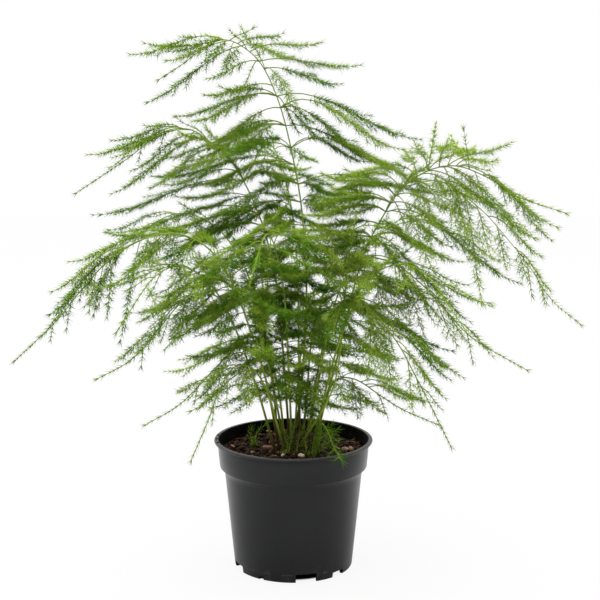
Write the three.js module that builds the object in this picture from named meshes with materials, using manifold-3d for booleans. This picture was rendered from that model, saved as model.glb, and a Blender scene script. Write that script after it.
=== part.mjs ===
// An asparagus fern growing in a nursery pot. Millimetres, +Z up: the pot's foot stands on Z = 0
// round the Z axis, and the front, where a sprig hangs over the rim, looks towards -Y.
import * as THREE from 'three';
import * as BufferGeometryUtils from 'three/addons/utils/BufferGeometryUtils.js';
import Module from 'manifold-3d';

const wasm = await Module();
wasm.setup();

// ---------------------------------------------------------------- driving dimensions
const POT = {
  height: 98, lipRadius: 60, lipDepth: 2.6,
  collarTop: 57.4, collarFoot: 55.8, collarFootZ: 77.6,
  bodyTop: 51.9, bodyTopZ: 71.5, footRadius: 44.9, footWidth: 3,
  wall: 1.6, floorUnder: 5.2, floorTop: 7, facets: 36,
};
const NOTCH = { count: 8, first: 13.5, wide: 17, narrow: 5, height: 4.7, depth: 9 };
const DRAIN = { radius: 4, circle: 27, count: 4, facets: 6 };
const SOIL = {
  top: 88.6, radius: 54.5, lump: 1.1, lumpSize: 7, gap: 0.5, seat: 0.3,
  rings: [1, 0.8, 0.55, 0.28], facets: 24,
};
const HOLE = { clearance: 0.35, bottom: 71.6, above: 4 };
const STEM = {
  foot: 72, start: 91, sides: 4, thick: 1.5, thin: 0.85, split: 0.6, whorls: 0.5, pitch: 22, lastWhorl: 7,
};
const SHOOT = {
  sides: 3, root: 0.45, thick: 0.8, thin: 0.5, arch: 0.14, highArch: 0.2, curl: 0.08,
  firstWhorl: 0.22, pitch: 27, lastWhorl: 6,
};
const FAN = {
  first: 0.42, last: 0.86, turn: [48, 74], fall: [-0.15, 0.2], length: [0.88, 1.12], outer: 0.62,
};
const WHORL = { band: 2.6, lean: 46 };
const NEEDLE = { length: 6.2, spread: 0.3, foot: 0.6, root: 0.4 };
const BRANCHLET = { share: 0.3, least: 4, longest: 25 };
const CLEAR = { route: 0.8, spike: 0.35, pot: 0.6 };
const BEND = { tries: 40, reach: 2.5, turn: 2.4 };
const SEED = 4207;

const COLOURS = {
  pot: 0x2e2f31, soil: 0x2a1c14, old: 0x3c6a1f, mid: 0x4f8226, young: 0x7fae2c,
};

// ---------------------------------------------------------------- the fronds
// Each frond is one or two limbs. A limb's stem is a list of places from the soil to its tip, and a
// shoot is its station, counted in places along the stem, with the x, y and z of its tip.
const FRONDS = {
  crown: [{
    stem: [[0, 2, 91], [6, 6, 137], [10, 12, 202], [7, 16, 263], [0, 20, 307], [-10, 22, 347],
      [-23, 20, 376], [-38, 16, 390], [-52, 10, 394], [-67, 2, 386], [-81, -6, 375], [-96, -12, 365]],
    shoots: [[3.1, -96, 14, 238], [3.6, 128, -14, 270], [4.0, -112, 40, 280], [4.4, 29, 90, 295],
      [4.7, -77, 66, 311], [4.9, -40, -30, 337], [5.1, 79, 12, 335], [5.3, -87, 14, 339],
      [5.4, 51, -34, 333], [5.6, -25, -60, 338], [5.8, 12, 46, 334], [5.95, 34, -8, 362],
      [6.1, -65, 40, 367], [6.2, 49, 14, 376], [6.4, -62, -30, 355], [6.6, 20, 6, 392],
      [6.9, -105, -6, 349], [7.1, 0, -40, 380], [7.2, -8, 34, 400], [7.5, -89, -24, 378],
      [7.7, -29, 16, 403], [7.9, -120, 18, 384], [8.1, -112, 40, 394], [9.3, -76, -20, 362]],
  }],
  left_high: [{
    stem: [[-3, 10, 91], [-8, 14, 163], [-12, 20, 208], [-21, 28, 249], [-33, 34, 280],
      [-47, 38, 304], [-63, 40, 319], [-80, 40, 329], [-101, 38, 326], [-126, 34, 307],
      [-165, 28, 281]],
    shoots: [[3.1, -116, 76, 223], [3.4, 29, 92, 250], [4.4, -151, 24, 265], [4.6, 13, 96, 297],
      [5.0, -109, 60, 292], [5.3, -15, 110, 319], [5.6, -105, 0, 287], [6.1, -135, 14, 282],
      [6.5, -128, 70, 296], [7.0, -160, 58, 309], [7.3, -133, 10, 309]],
  }],
  left_long: [{
    stem: [[-11, -1, 91], [-20, -20, 147], [-31, -32, 187], [-43, -42, 223], [-59, -50, 248],
      [-80, -56, 259], [-102, -58, 256], [-126, -54, 242], [-147, -46, 221], [-170, -36, 194],
      [-205, -20, 161]],
    shoots: [[3.2, 12, -96, 244], [3.5, -70, 10, 258], [4.4, -136, -16, 256], [4.6, -90, -96, 220],
      [5.0, -115, -104, 232], [5.2, -159, -36, 237], [5.5, -116, 10, 231], [5.9, -114, -108, 193],
      [6.6, -170, -46, 217], [7.0, -142, -92, 205]],
  }],
  right_high: [{
    stem: [[13, 2, 91], [30, -10, 151], [41, -20, 203], [52, -26, 244], [63, -30, 272],
      [78, -34, 290], [96, -38, 302], [115, -42, 305], [136, -46, 297], [157, -46, 284],
      [192, -42, 272]],
    shoots: [[3.2, 5, -86, 261], [3.4, 155, -76, 227], [3.8, 123, -20, 235], [4.3, 19, -70, 286],
      [4.5, 28, 46, 285], [4.7, 96, -96, 244], [5.1, 67, 4, 325], [5.3, 122, -110, 253],
      [5.7, 99, -36, 333], [5.9, 154, -30, 321], [6.2, 118, -48, 330], [6.4, 161, -100, 260],
      [6.9, 182, -62, 264], [7.6, 183, -10, 293]],
  }, {
    stem: [[78, -34, 290], [100, -46, 295], [117, -54, 286], [133, -58, 273], [149, -58, 255],
      [165, -54, 236], [182, -48, 212], [207, -36, 191]],
    shoots: [[1.6, 118, -94, 251], [2.1, 172, -30, 253], [2.5, 132, -96, 247], [3.1, 173, -54, 243],
      [3.4, 142, -96, 240], [4.3, 157, -92, 232]],
  }],
  right_low: [{
    stem: [[8, -4, 91], [18, -18, 143], [27, -38, 192], [42, -50, 213], [57, -68, 204],
      [72, -80, 186], [82, -88, 168], [94, -94, 145], [108, -94, 117]],
    shoots: [[1.7, -21, -110, 221], [2.0, 92, -20, 207], [2.4, 113, -50, 175],
      [2.7, 24, -120, 196], [3.1, 119, -64, 159], [3.4, 59, -120, 170], [4.2, 67, -118, 158],
      [4.6, 109, -70, 159]],
  }],
  right_mid: [{
    stem: [[6, 7, 91], [10, 8, 125], [14, 8, 172], [26, 2, 215], [46, -6, 236], [71, -16, 234],
      [92, -24, 220], [110, -32, 201], [130, -38, 181], [168, -40, 159]],
    shoots: [[2.3, -31, -30, 258], [2.6, 45, 80, 256], [3.3, 131, 40, 227], [3.7, 52, -90, 204],
      [4.0, 143, -24, 205], [4.4, 67, -90, 187], [5.0, 119, 10, 205], [5.8, 129, -20, 191],
      [6.1, 113, -76, 184]],
  }],
  left_mid: [{
    stem: [[-7, 5, 91], [-16, -6, 144], [-25, -14, 187], [-39, -22, 213], [-58, -30, 223],
      [-78, -38, 210], [-97, -44, 188], [-115, -46, 168], [-141, -44, 153]],
    shoots: [[1.8, 26, -60, 213], [2.2, -80, 40, 240], [2.6, -15, -90, 197], [3.0, -110, -10, 197],
      [3.3, -49, -96, 188], [3.7, -104, 20, 203], [4.1, -86, -90, 184], [4.6, -116, 0, 187],
      [5.0, -111, -84, 175]],
  }],
  left_low: [{
    stem: [[-7, 13, 91], [-11, 20, 126], [-20, 24, 159], [-38, 22, 166], [-58, 18, 150],
      [-75, 14, 132], [-91, 12, 118], [-114, 10, 105]],
    shoots: [[1.5, -52, 62, 166], [2.0, -104, 70, 134], [2.4, -38, -50, 147], [2.8, -90, 50, 148],
      [3.6, -59, -30, 129]],
  }],
  left_front: [{
    stem: [[-7, -9, 91], [-18, -26, 137], [-29, -44, 161], [-42, -56, 164], [-52, -66, 149],
      [-59, -72, 130], [-71, -74, 102]],
    shoots: [[1.5, -20, -110, 194], [1.9, -75, -30, 126], [2.4, -29, -100, 149], [3.0, -70, -40, 137]],
  }],
  right_base: [{
    stem: [[17, 8, 91], [24, 10, 121], [32, 6, 141], [47, 0, 143], [66, -8, 132], [82, -14, 123],
      [107, -18, 113]],
    shoots: [[1.5, 29, 60, 146], [2.0, 65, -50, 130], [2.3, 84, 40, 135], [2.8, 47, -40, 124],
      [3.2, 98, 20, 124]],
  }],
  young: [{
    stem: [[3, -10, 91], [27, -40, 141], [34, -52, 180], [36, -58, 216], [40, -60, 252],
      [44, -58, 272]],
    shoots: [[2.2, 31, -76, 205], [2.6, 48, -66, 228], [3.0, 28, -70, 241], [3.4, 55, -60, 256]],
  }],
  rim_sprig: [{
    stem: [[16, -14, 91], [20, -24, 114], [25, -36, 114], [28, -48, 108], [33, -59, 103],
      [37, -66, 93], [39, -68, 86]],
    shoots: [],
  }],
  back_high: [{
    stem: [[5, 17, 91], [4, 26, 160], [2, 42, 240], [-8, 68, 296], [-22, 104, 316], [-38, 150, 292]],
    fill: { count: 7, reach: 70, drop: 0.2 },
  }],
  back_left: [{
    stem: [[-12, 15, 91], [-18, 26, 150], [-34, 48, 212], [-62, 78, 250], [-100, 108, 258],
      [-150, 138, 226]],
    fill: { count: 7, reach: 76, drop: 0.25 },
  }],
  back_right: [{
    stem: [[12, 15, 91], [20, 28, 150], [40, 52, 212], [74, 80, 248], [114, 104, 250],
      [160, 128, 214]],
    fill: { count: 7, reach: 76, drop: 0.25 },
  }],
  back_low: [{
    stem: [[1, 23, 91], [4, 42, 140], [12, 72, 184], [22, 100, 196], [34, 124, 180], [44, 142, 150]],
    fill: { count: 6, reach: 60, drop: 0.3 },
  }],
  front_high: [{
    stem: [[-1, -15, 91], [-3, -22, 150], [-6, -38, 212], [-12, -66, 250], [-18, -100, 262],
      [-26, -162, 238]],
    fill: { count: 6, reach: 66, drop: 0.15 },
  }],
  front_right: [{
    stem: [[14, -8, 91], [27, -15, 150], [42, -35, 206], [62, -66, 236], [86, -98, 238],
      [110, -138, 206]],
    fill: { count: 6, reach: 64, drop: 0.2 },
  }],
  front_left: [{
    stem: [[-14, -7, 91], [-30, -16, 150], [-50, -38, 208], [-70, -70, 236], [-90, -100, 236],
      [-112, -136, 204]],
    fill: { count: 6, reach: 64, drop: 0.2 },
  }],
};
const TONES = { young: COLOURS.young, rim_sprig: COLOURS.young, crown: COLOURS.mid, left_long: COLOURS.mid,
  right_high: COLOURS.mid, right_low: COLOURS.mid, right_mid: COLOURS.mid };

// ---------------------------------------------------------------- small helpers
const UP = new THREE.Vector3(0, 0, 1);
const UPRIGHT = { side: new THREE.Vector3(1, 0, 0), over: new THREE.Vector3(0, 1, 0) };
const AXES_UP = new THREE.Matrix4().makeRotationX(Math.PI / 2);
const radians = THREE.MathUtils.degToRad;
const { lerp, clamp } = THREE.MathUtils;
const vector = ([x, y, z]) => new THREE.Vector3(x, y, z);

/** Park and Miller's generator: the same draws in any language. */
function makeDraw(seed) {
  let state = seed;
  return () => {
    state = (state * 48271) % 2147483647;
    return state / 2147483647;
  };
}

function toSolid(geometry) {
  geometry.deleteAttribute('normal');
  geometry.deleteAttribute('uv');
  const merged = BufferGeometryUtils.mergeVertices(geometry, 1e-4);
  return new wasm.Manifold(new wasm.Mesh({
    numProp: 3,
    vertProperties: merged.attributes.position.array,
    triVerts: Uint32Array.from(merged.index.array),
  }));
}

function toGeometry(solid) {
  const { vertProperties, triVerts } = solid.getMesh();
  const geometry = new THREE.BufferGeometry();
  geometry.setAttribute('position', new THREE.BufferAttribute(Float32Array.from(vertProperties), 3));
  geometry.setIndex(new THREE.BufferAttribute(Uint32Array.from(triVerts), 1));
  geometry.computeVertexNormals();
  return geometry;
}

function turned(profile, facets) {
  const points = profile.map(([radius, height]) => new THREE.Vector2(radius, height));
  return new THREE.LatheGeometry(points, facets).applyMatrix4(AXES_UP);
}

/** The place a share of the way along a line of places, counted in places. */
function placeAt(places, station) {
  const k = Math.min(Math.floor(station), places.length - 2);
  return places[k].clone().lerp(places[k + 1], station - k);
}

/** The shortest way between two straight pieces a0-a1 and b0-b1. */
function distanceBetween(a0, a1, b0, b1) {
  const a = a1.clone().sub(a0);
  const b = b1.clone().sub(b0);
  const gap = a0.clone().sub(b0);
  const aa = a.dot(a);
  const bb = b.dot(b);
  const ab = a.dot(b);
  const ag = a.dot(gap);
  const bg = b.dot(gap);
  const spread = aa * bb - ab * ab;
  let s = spread > 1e-9 ? clamp((ab * bg - ag * bb) / spread, 0, 1) : 0;
  let t = (ab * s + bg) / bb;
  if (t < 0 || t > 1) {
    t = clamp(t, 0, 1);
    s = clamp((ab * t - ag) / aa, 0, 1);
  }
  return gap.addScaledVector(a, s).addScaledVector(b, -t).length();
}

// ---------------------------------------------------------------- where the limbs run
/** A frond's limbs as data: stems first, then the shoots that fan out of them. */
function listLimbs() {
  const draw = makeDraw(SEED);
  const limbs = [];
  const shoots = [];
  for (const [frond, parts] of Object.entries(FRONDS)) {
    parts.forEach((part, k) => {
      const stem = part.stem.map(vector);
      limbs.push({ frond, kind: k === 0 ? 'stem' : 'fork', places: splitOutward(stem) });
      const tips = part.fill ? fanOut(stem, part.fill, draw) : part.shoots;
      tips.forEach(([station, ...tip], n) => shoots.push({ frond, stem, station, tip: vector(tip), n }));
    });
  }
  for (const shoot of shoots) limbs.push(routeShoot(shoot, limbs));
  return limbs;
}

/** The same line with more places on its outer part, for whorls up to its very tip. */
function splitOutward(stem) {
  const last = stem.length - 1;
  const outer = stem.slice(1).flatMap((place, k) => {
    if (k + 1 < Math.ceil(last * STEM.split)) return [place];
    const from = stem[k];
    const run = place.distanceTo(from);
    const pieces = Math.max(1, Math.round(run / STEM.pitch));
    const shares = Array.from({ length: pieces }, (_, n) => (n + 1) / pieces);
    if (k + 1 === last) shares.splice(-1, 0, 1 - STEM.lastWhorl / run);
    return shares.map((share) => from.clone().lerp(place, share));
  });
  return [stem[0], ...outer];
}

/** Shoot tips for a frond that fans out by rule: left and right in turn, shorter to the tip. */
function fanOut(stem, { count, reach, drop }, draw) {
  const last = stem.length - 1;
  return Array.from({ length: count }, (_, k) => {
    const outward = k / (count - 1);
    const station = last * lerp(FAN.first, FAN.last, outward);
    const ahead = placeAt(stem, station + 0.2).sub(placeAt(stem, station - 0.2));
    const turn = (k % 2 ? 1 : -1) * lerp(...FAN.turn, draw());
    const heading = Math.atan2(ahead.y, ahead.x) + radians(turn);
    const length = reach * lerp(1, FAN.outer, outward) * lerp(...FAN.length, draw());
    const fall = length * (drop + lerp(...FAN.fall, draw()));
    const { x, y, z } = placeAt(stem, station);
    return [station, x + length * Math.cos(heading), y + length * Math.sin(heading), z - fall];
  });
}

/** A shoot's places: out of its stem and over in a low arch, bent aside until it is clear. */
function routeShoot({ frond, stem, station, tip, n }, limbs) {
  const root = placeAt(stem, station);
  const length = root.distanceTo(tip);
  const arch = length * (n % 3 === 0 ? SHOOT.highArch : SHOOT.arch);
  const side = tip.clone().sub(root).setZ(0).normalize().cross(UP);
  const stations = shootStations(length);
  const others = limbs.filter((limb) => limb.frond !== frond);
  let places;
  for (let k = 0; k < BEND.tries; k += 1) {
    const reach = BEND.reach * Math.sqrt(k);
    const aside = reach * Math.sin(BEND.turn * k);
    const above = reach * Math.cos(BEND.turn * k);
    places = stations.map((t) => {
      const bow = 4 * t * (1 - t);
      const place = root.clone().lerp(tip, t).addScaledVector(side, aside * bow);
      place.z += (arch + above) * bow + SHOOT.curl * length * t * (t ** 3 - 1);
      return place;
    });
    if (others.every((limb) => isApart(places, limb))) break;
  }
  return { frond, kind: 'shoot', places };
}

/** The shares of a shoot's length where it has a place: its root, its whorls and its tip. */
function shootStations(length) {
  const count = Math.max(2, Math.round(length / SHOOT.pitch));
  const last = 1 - SHOOT.lastWhorl / length;
  const whorls = Array.from({ length: count }, (_, k) => lerp(SHOOT.firstWhorl, last, k / (count - 1)));
  return [0, ...whorls, 1];
}

const limbThickness = ({ kind }) => (kind === 'shoot' ? SHOOT.thick : STEM.thick);

function isApart(places, limb) {
  const clearance = limbThickness(limb) + SHOOT.thick + CLEAR.route;
  for (let i = 1; i < places.length; i += 1) {
    for (let j = 1; j < limb.places.length; j += 1) {
      const gap = distanceBetween(places[i - 1], places[i], limb.places[j - 1], limb.places[j]);
      if (gap < clearance) return false;
    }
  }
  return true;
}

// ---------------------------------------------------------------- what a limb carries
/** Each place's heading and cross directions, carried along the limb without twisting. */
function crossFrames(places, level) {
  const side = level.clone();
  return places.map((place, k) => {
    const back = places[Math.max(0, k - 1)];
    const front = places[Math.min(places.length - 1, k + 1)];
    const ahead = front.clone().sub(back).normalize();
    side.addScaledVector(ahead, -side.dot(ahead)).normalize();
    return { ahead, side: side.clone(), over: new THREE.Vector3().crossVectors(ahead, side) };
  });
}

/** A whorl's six spikes: a branchlet to each side, and true-size needles above and below. */
function whorlSpikes(place, frame, branchlet, sides, draw) {
  const lean = radians(WHORL.lean);
  return Array.from({ length: 2 * sides }, (_, k) => {
    if ((2 * k) % (2 * sides) === sides) return null;
    const angle = (Math.PI * k) / sides;
    const needle = NEEDLE.length * lerp(1 - NEEDLE.spread, 1 + NEEDLE.spread, draw());
    const length = k % sides === 0 ? Math.max(needle, branchlet) : needle;
    const out = frame.side.clone().multiplyScalar(Math.cos(angle))
      .addScaledVector(frame.over, Math.sin(angle));
    const foot = place.clone().addScaledVector(out, NEEDLE.root);
    const apex = foot.clone().addScaledVector(out, length * Math.sin(lean))
      .addScaledVector(frame.ahead, length * Math.cos(lean));
    return { foot, apex };
  });
}

function isClearOfPot(place) {
  const radius = Math.hypot(place.x, place.y);
  const inside = radius < POT.collarFoot - POT.wall - CLEAR.pot && place.z > SOIL.top + 2 * SOIL.lump;
  return place.z > POT.height + CLEAR.pot || radius > POT.lipRadius + CLEAR.pot || inside;
}

/** Gives every limb its frames, and every outer place a whorl of spikes that touch nothing. */
function dressLimbs(limbs) {
  const draw = makeDraw(SEED + 1);
  const taken = limbs.flatMap((limb) => limb.places.slice(1).map((to, k) => (
    { limb, from: limb.places[k], to, thickness: limbThickness(limb) })));
  const isFree = (limb, { foot, apex }) => isClearOfPot(apex) && taken.every((other) => (
    other.limb === limb || distanceBetween(foot, apex, other.from, other.to)
      > other.thickness + NEEDLE.foot + CLEAR.spike));
  for (const limb of limbs) {
    const { places, kind } = limb;
    const { sides } = kind === 'shoot' ? SHOOT : STEM;
    const root = places[0];
    const chord = places.at(-1).clone().sub(root);
    const length = chord.length();
    limb.frames = crossFrames(places, kind === 'stem' ? UPRIGHT.side : chord.setZ(0).normalize().cross(UP));
    const first = kind === 'shoot' ? 1 : Math.ceil(places.length * STEM.whorls);
    limb.whorls = places.map((place, k) => {
      if (k < first || k === places.length - 1) return null;
      const outward = 1 - place.distanceTo(root) / length;
      const branchlet = Math.min(BRANCHLET.longest, BRANCHLET.share * length * outward + BRANCHLET.least);
      return whorlSpikes(place, limb.frames[k], branchlet, sides, draw).map((spike) => {
        if (!spike || !isFree(limb, spike)) return null;
        taken.push({ limb, from: spike.foot, to: spike.apex, thickness: NEEDLE.foot });
        return spike.apex;
      });
    });
  }
}

// ---------------------------------------------------------------- a limb's solid
/** A tapering tube of flat sides that ends in a point, its whorls raised from its own faces. */
function limbSolid({ places, frames, whorls, kind, foot }) {
  const { sides } = kind === 'shoot' ? SHOOT : STEM;
  const positions = [];
  const faces = [];
  const addPlace = (place) => positions.push(place.x, place.y, place.z) / 3 - 1;
  const addRing = (centre, frame, radius) => Array.from({ length: sides }, (_, k) => {
    const angle = (2 * Math.PI * (k - 0.25)) / sides;
    return addPlace(centre.clone().addScaledVector(frame.side, radius * Math.cos(angle))
      .addScaledVector(frame.over, radius * Math.sin(angle)));
  });
  const raise = ([a, b, c], apex) => {
    const top = addPlace(apex);
    faces.push([a, b, top], [b, c, top], [c, a, top]);
  };
  const joinRings = (near, far, spikes = []) => near.forEach((a, k) => {
    const next = (k + 1) % sides;
    const halves = [[a, far[next], far[k]], [a, near[next], far[next]]];
    halves.forEach((face, half) => {
      const apex = spikes[2 * k + half];
      if (apex) raise(face, apex);
      else faces.push(face);
    });
  });

  const rings = [];
  if (foot) rings.push({ ring: addRing(foot, UPRIGHT, limbRadius(kind, 0)) });
  places.slice(0, -1).forEach((place, k) => {
    const radius = limbRadius(kind, k / (places.length - 1));
    const half = whorls[k] ? WHORL.band / 2 : 0;
    const frame = frames[k];
    rings.push({ ring: addRing(place.clone().addScaledVector(frame.ahead, -half), frame, radius) });
    if (half) {
      const far = addRing(place.clone().addScaledVector(frame.ahead, half), frame, radius);
      rings.push({ ring: far, spikes: whorls[k] });
    }
  });
  for (let k = 2; k < sides; k += 1) faces.push([rings[0].ring[0], rings[0].ring[k], rings[0].ring[k - 1]]);
  for (let k = 1; k < rings.length; k += 1) joinRings(rings[k - 1].ring, rings[k].ring, rings[k].spikes);
  const end = rings.at(-1).ring;
  const tip = addPlace(places.at(-1));
  end.forEach((a, k) => faces.push([a, end[(k + 1) % sides], tip]));
  return new wasm.Manifold(new wasm.Mesh({
    numProp: 3, vertProperties: Float32Array.from(positions), triVerts: Uint32Array.from(faces.flat()),
  }));
}

function limbRadius(kind, share) {
  if (kind !== 'shoot') return lerp(STEM.thick, STEM.thin, share);
  return share === 0 ? SHOOT.root : lerp(SHOOT.thick, SHOOT.thin, share);
}

function frondGeometry(frond, limbs) {
  const solids = limbs.filter((limb) => limb.frond === frond).map((limb) => {
    const foot = limb.kind === 'stem' ? limb.places[0].clone().setZ(STEM.foot) : null;
    return limbSolid({ ...limb, foot });
  });
  return toGeometry(wasm.Manifold.union(solids));
}

// ---------------------------------------------------------------- pot and soil
// The pot's inside from the floor up, as radius and height.
const INSIDE = [
  [POT.footRadius - 1.1, POT.floorTop], [POT.bodyTop - POT.wall, POT.bodyTopZ - 0.8],
  [POT.collarFoot - POT.wall, POT.collarFootZ - 0.8], [POT.collarTop - POT.wall, POT.height],
];

function potGeometry() {
  const { lipRadius, height, lipDepth, collarTop, footRadius, footWidth, floorUnder } = POT;
  const body = toSolid(turned([
    [0, floorUnder], [footRadius - footWidth - 0.5, floorUnder], [footRadius - footWidth, 0],
    [footRadius, 0], [POT.bodyTop, POT.bodyTopZ], [POT.collarFoot, POT.collarFootZ],
    [collarTop, height - lipDepth], [lipRadius, height - lipDepth + 0.3], [lipRadius, height - 0.6],
    [lipRadius - 0.8, height], ...INSIDE.toReversed(), [0, POT.floorTop],
  ], POT.facets));
  return toGeometry(potOpenings().reduce((pot, cut) => pot.subtract(cut), body));
}

/** The notches in the foot ring, wide and narrow in turn, and the drain holes in the floor. */
function potOpenings() {
  const step = 360 / NOTCH.count;
  const notches = Array.from({ length: NOTCH.count }, (_, k) => {
    const width = k % 2 ? NOTCH.narrow : NOTCH.wide;
    const cut = new THREE.BoxGeometry(width, NOTCH.depth, 2 * NOTCH.height);
    cut.translate(0, -POT.footRadius, 0).rotateZ(radians(NOTCH.first + k * step));
    return toSolid(cut);
  });
  const drains = Array.from({ length: DRAIN.count }, (_, k) => {
    const cut = new THREE.CylinderGeometry(DRAIN.radius, DRAIN.radius, 2 * POT.floorTop, DRAIN.facets);
    cut.applyMatrix4(AXES_UP).translate(0, -DRAIN.circle, POT.floorTop);
    return toSolid(cut.rotateZ(radians(NOTCH.first + (k * 360) / DRAIN.count)));
  });
  return [...notches, ...drains];
}

function soilGeometry(limbs) {
  const wall = INSIDE.slice(0, 3).map(([radius, height]) => [radius - SOIL.gap, height + SOIL.seat]);
  const rings = SOIL.rings.map((share) => [SOIL.radius * share, SOIL.top]);
  const mound = turned([[0, wall[0][1]], ...wall, ...rings, [0, SOIL.top]], SOIL.facets);
  const { position } = mound.attributes;
  for (let k = 0; k < position.count; k += 1) {
    const onTop = position.getZ(k) > SOIL.top - 0.01;
    if (onTop) position.setZ(k, SOIL.top + lumpAt(position.getX(k), position.getY(k)));
  }
  const radius = (STEM.thick + HOLE.clearance) / Math.cos(Math.PI / STEM.sides);
  const height = STEM.start + HOLE.above - HOLE.bottom;
  const holes = limbs.filter((limb) => limb.kind === 'stem').map(({ places }) => {
    const hole = new THREE.CylinderGeometry(radius, radius, height, STEM.sides);
    hole.applyMatrix4(AXES_UP).translate(places[0].x, places[0].y, HOLE.bottom + height / 2);
    return toSolid(hole);
  });
  return toGeometry(toSolid(mound).subtract(wasm.Manifold.union(holes)));
}

/** How far the soil stands above or below its level at a place. */
function lumpAt(x, y) {
  const [u, v] = [x / SOIL.lumpSize, y / SOIL.lumpSize];
  const waves = Math.sin(u + 1.3 * v) + Math.sin(1.9 * v - 0.8 * u + 1) + Math.sin(2.7 * u + 2);
  return (SOIL.lump * waves) / 3;
}

// ---------------------------------------------------------------- the whole plant
function addPiece(group, name, geometry, color, roughness) {
  const material = new THREE.MeshStandardMaterial({ color, roughness, metalness: 0 });
  const mesh = new THREE.Mesh(geometry, material);
  mesh.name = name;
  group.add(mesh);
}

function buildFern() {
  const group = new THREE.Group();
  const limbs = listLimbs();
  dressLimbs(limbs);
  addPiece(group, 'pot', potGeometry(), COLOURS.pot, 0.55);
  addPiece(group, 'soil', soilGeometry(limbs), COLOURS.soil, 0.95);
  for (const frond of Object.keys(FRONDS)) {
    addPiece(group, `frond_${frond}`, frondGeometry(frond, limbs), TONES[frond] ?? COLOURS.old, 0.6);
  }
  return group;
}

export default buildFern();
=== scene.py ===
"""The looks of an asparagus fern in its nursery pot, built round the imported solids.

Metres in the scene and millimetres in the tables below, with +Z up: the pot's axis is Z, its foot
stands on Z = 0 and its front, where a sprig hangs over the rim, looks towards -Y.
"""

import functools
import math

import bpy
import numpy as np
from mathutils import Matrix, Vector, noise


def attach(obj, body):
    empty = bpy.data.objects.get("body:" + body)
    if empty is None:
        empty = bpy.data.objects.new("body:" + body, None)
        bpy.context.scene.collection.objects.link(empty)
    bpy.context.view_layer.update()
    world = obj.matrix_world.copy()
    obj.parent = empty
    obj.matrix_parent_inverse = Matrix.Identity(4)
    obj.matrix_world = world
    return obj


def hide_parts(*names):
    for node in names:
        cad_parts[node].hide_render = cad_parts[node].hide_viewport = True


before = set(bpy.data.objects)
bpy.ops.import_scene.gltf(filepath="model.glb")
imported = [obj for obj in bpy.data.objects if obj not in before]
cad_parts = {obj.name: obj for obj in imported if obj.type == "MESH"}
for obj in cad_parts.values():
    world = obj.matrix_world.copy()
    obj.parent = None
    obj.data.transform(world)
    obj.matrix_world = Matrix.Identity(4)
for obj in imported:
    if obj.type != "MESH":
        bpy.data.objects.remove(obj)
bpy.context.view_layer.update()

MM = 0.001
UP = np.array([0.0, 0.0, 1.0])

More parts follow.
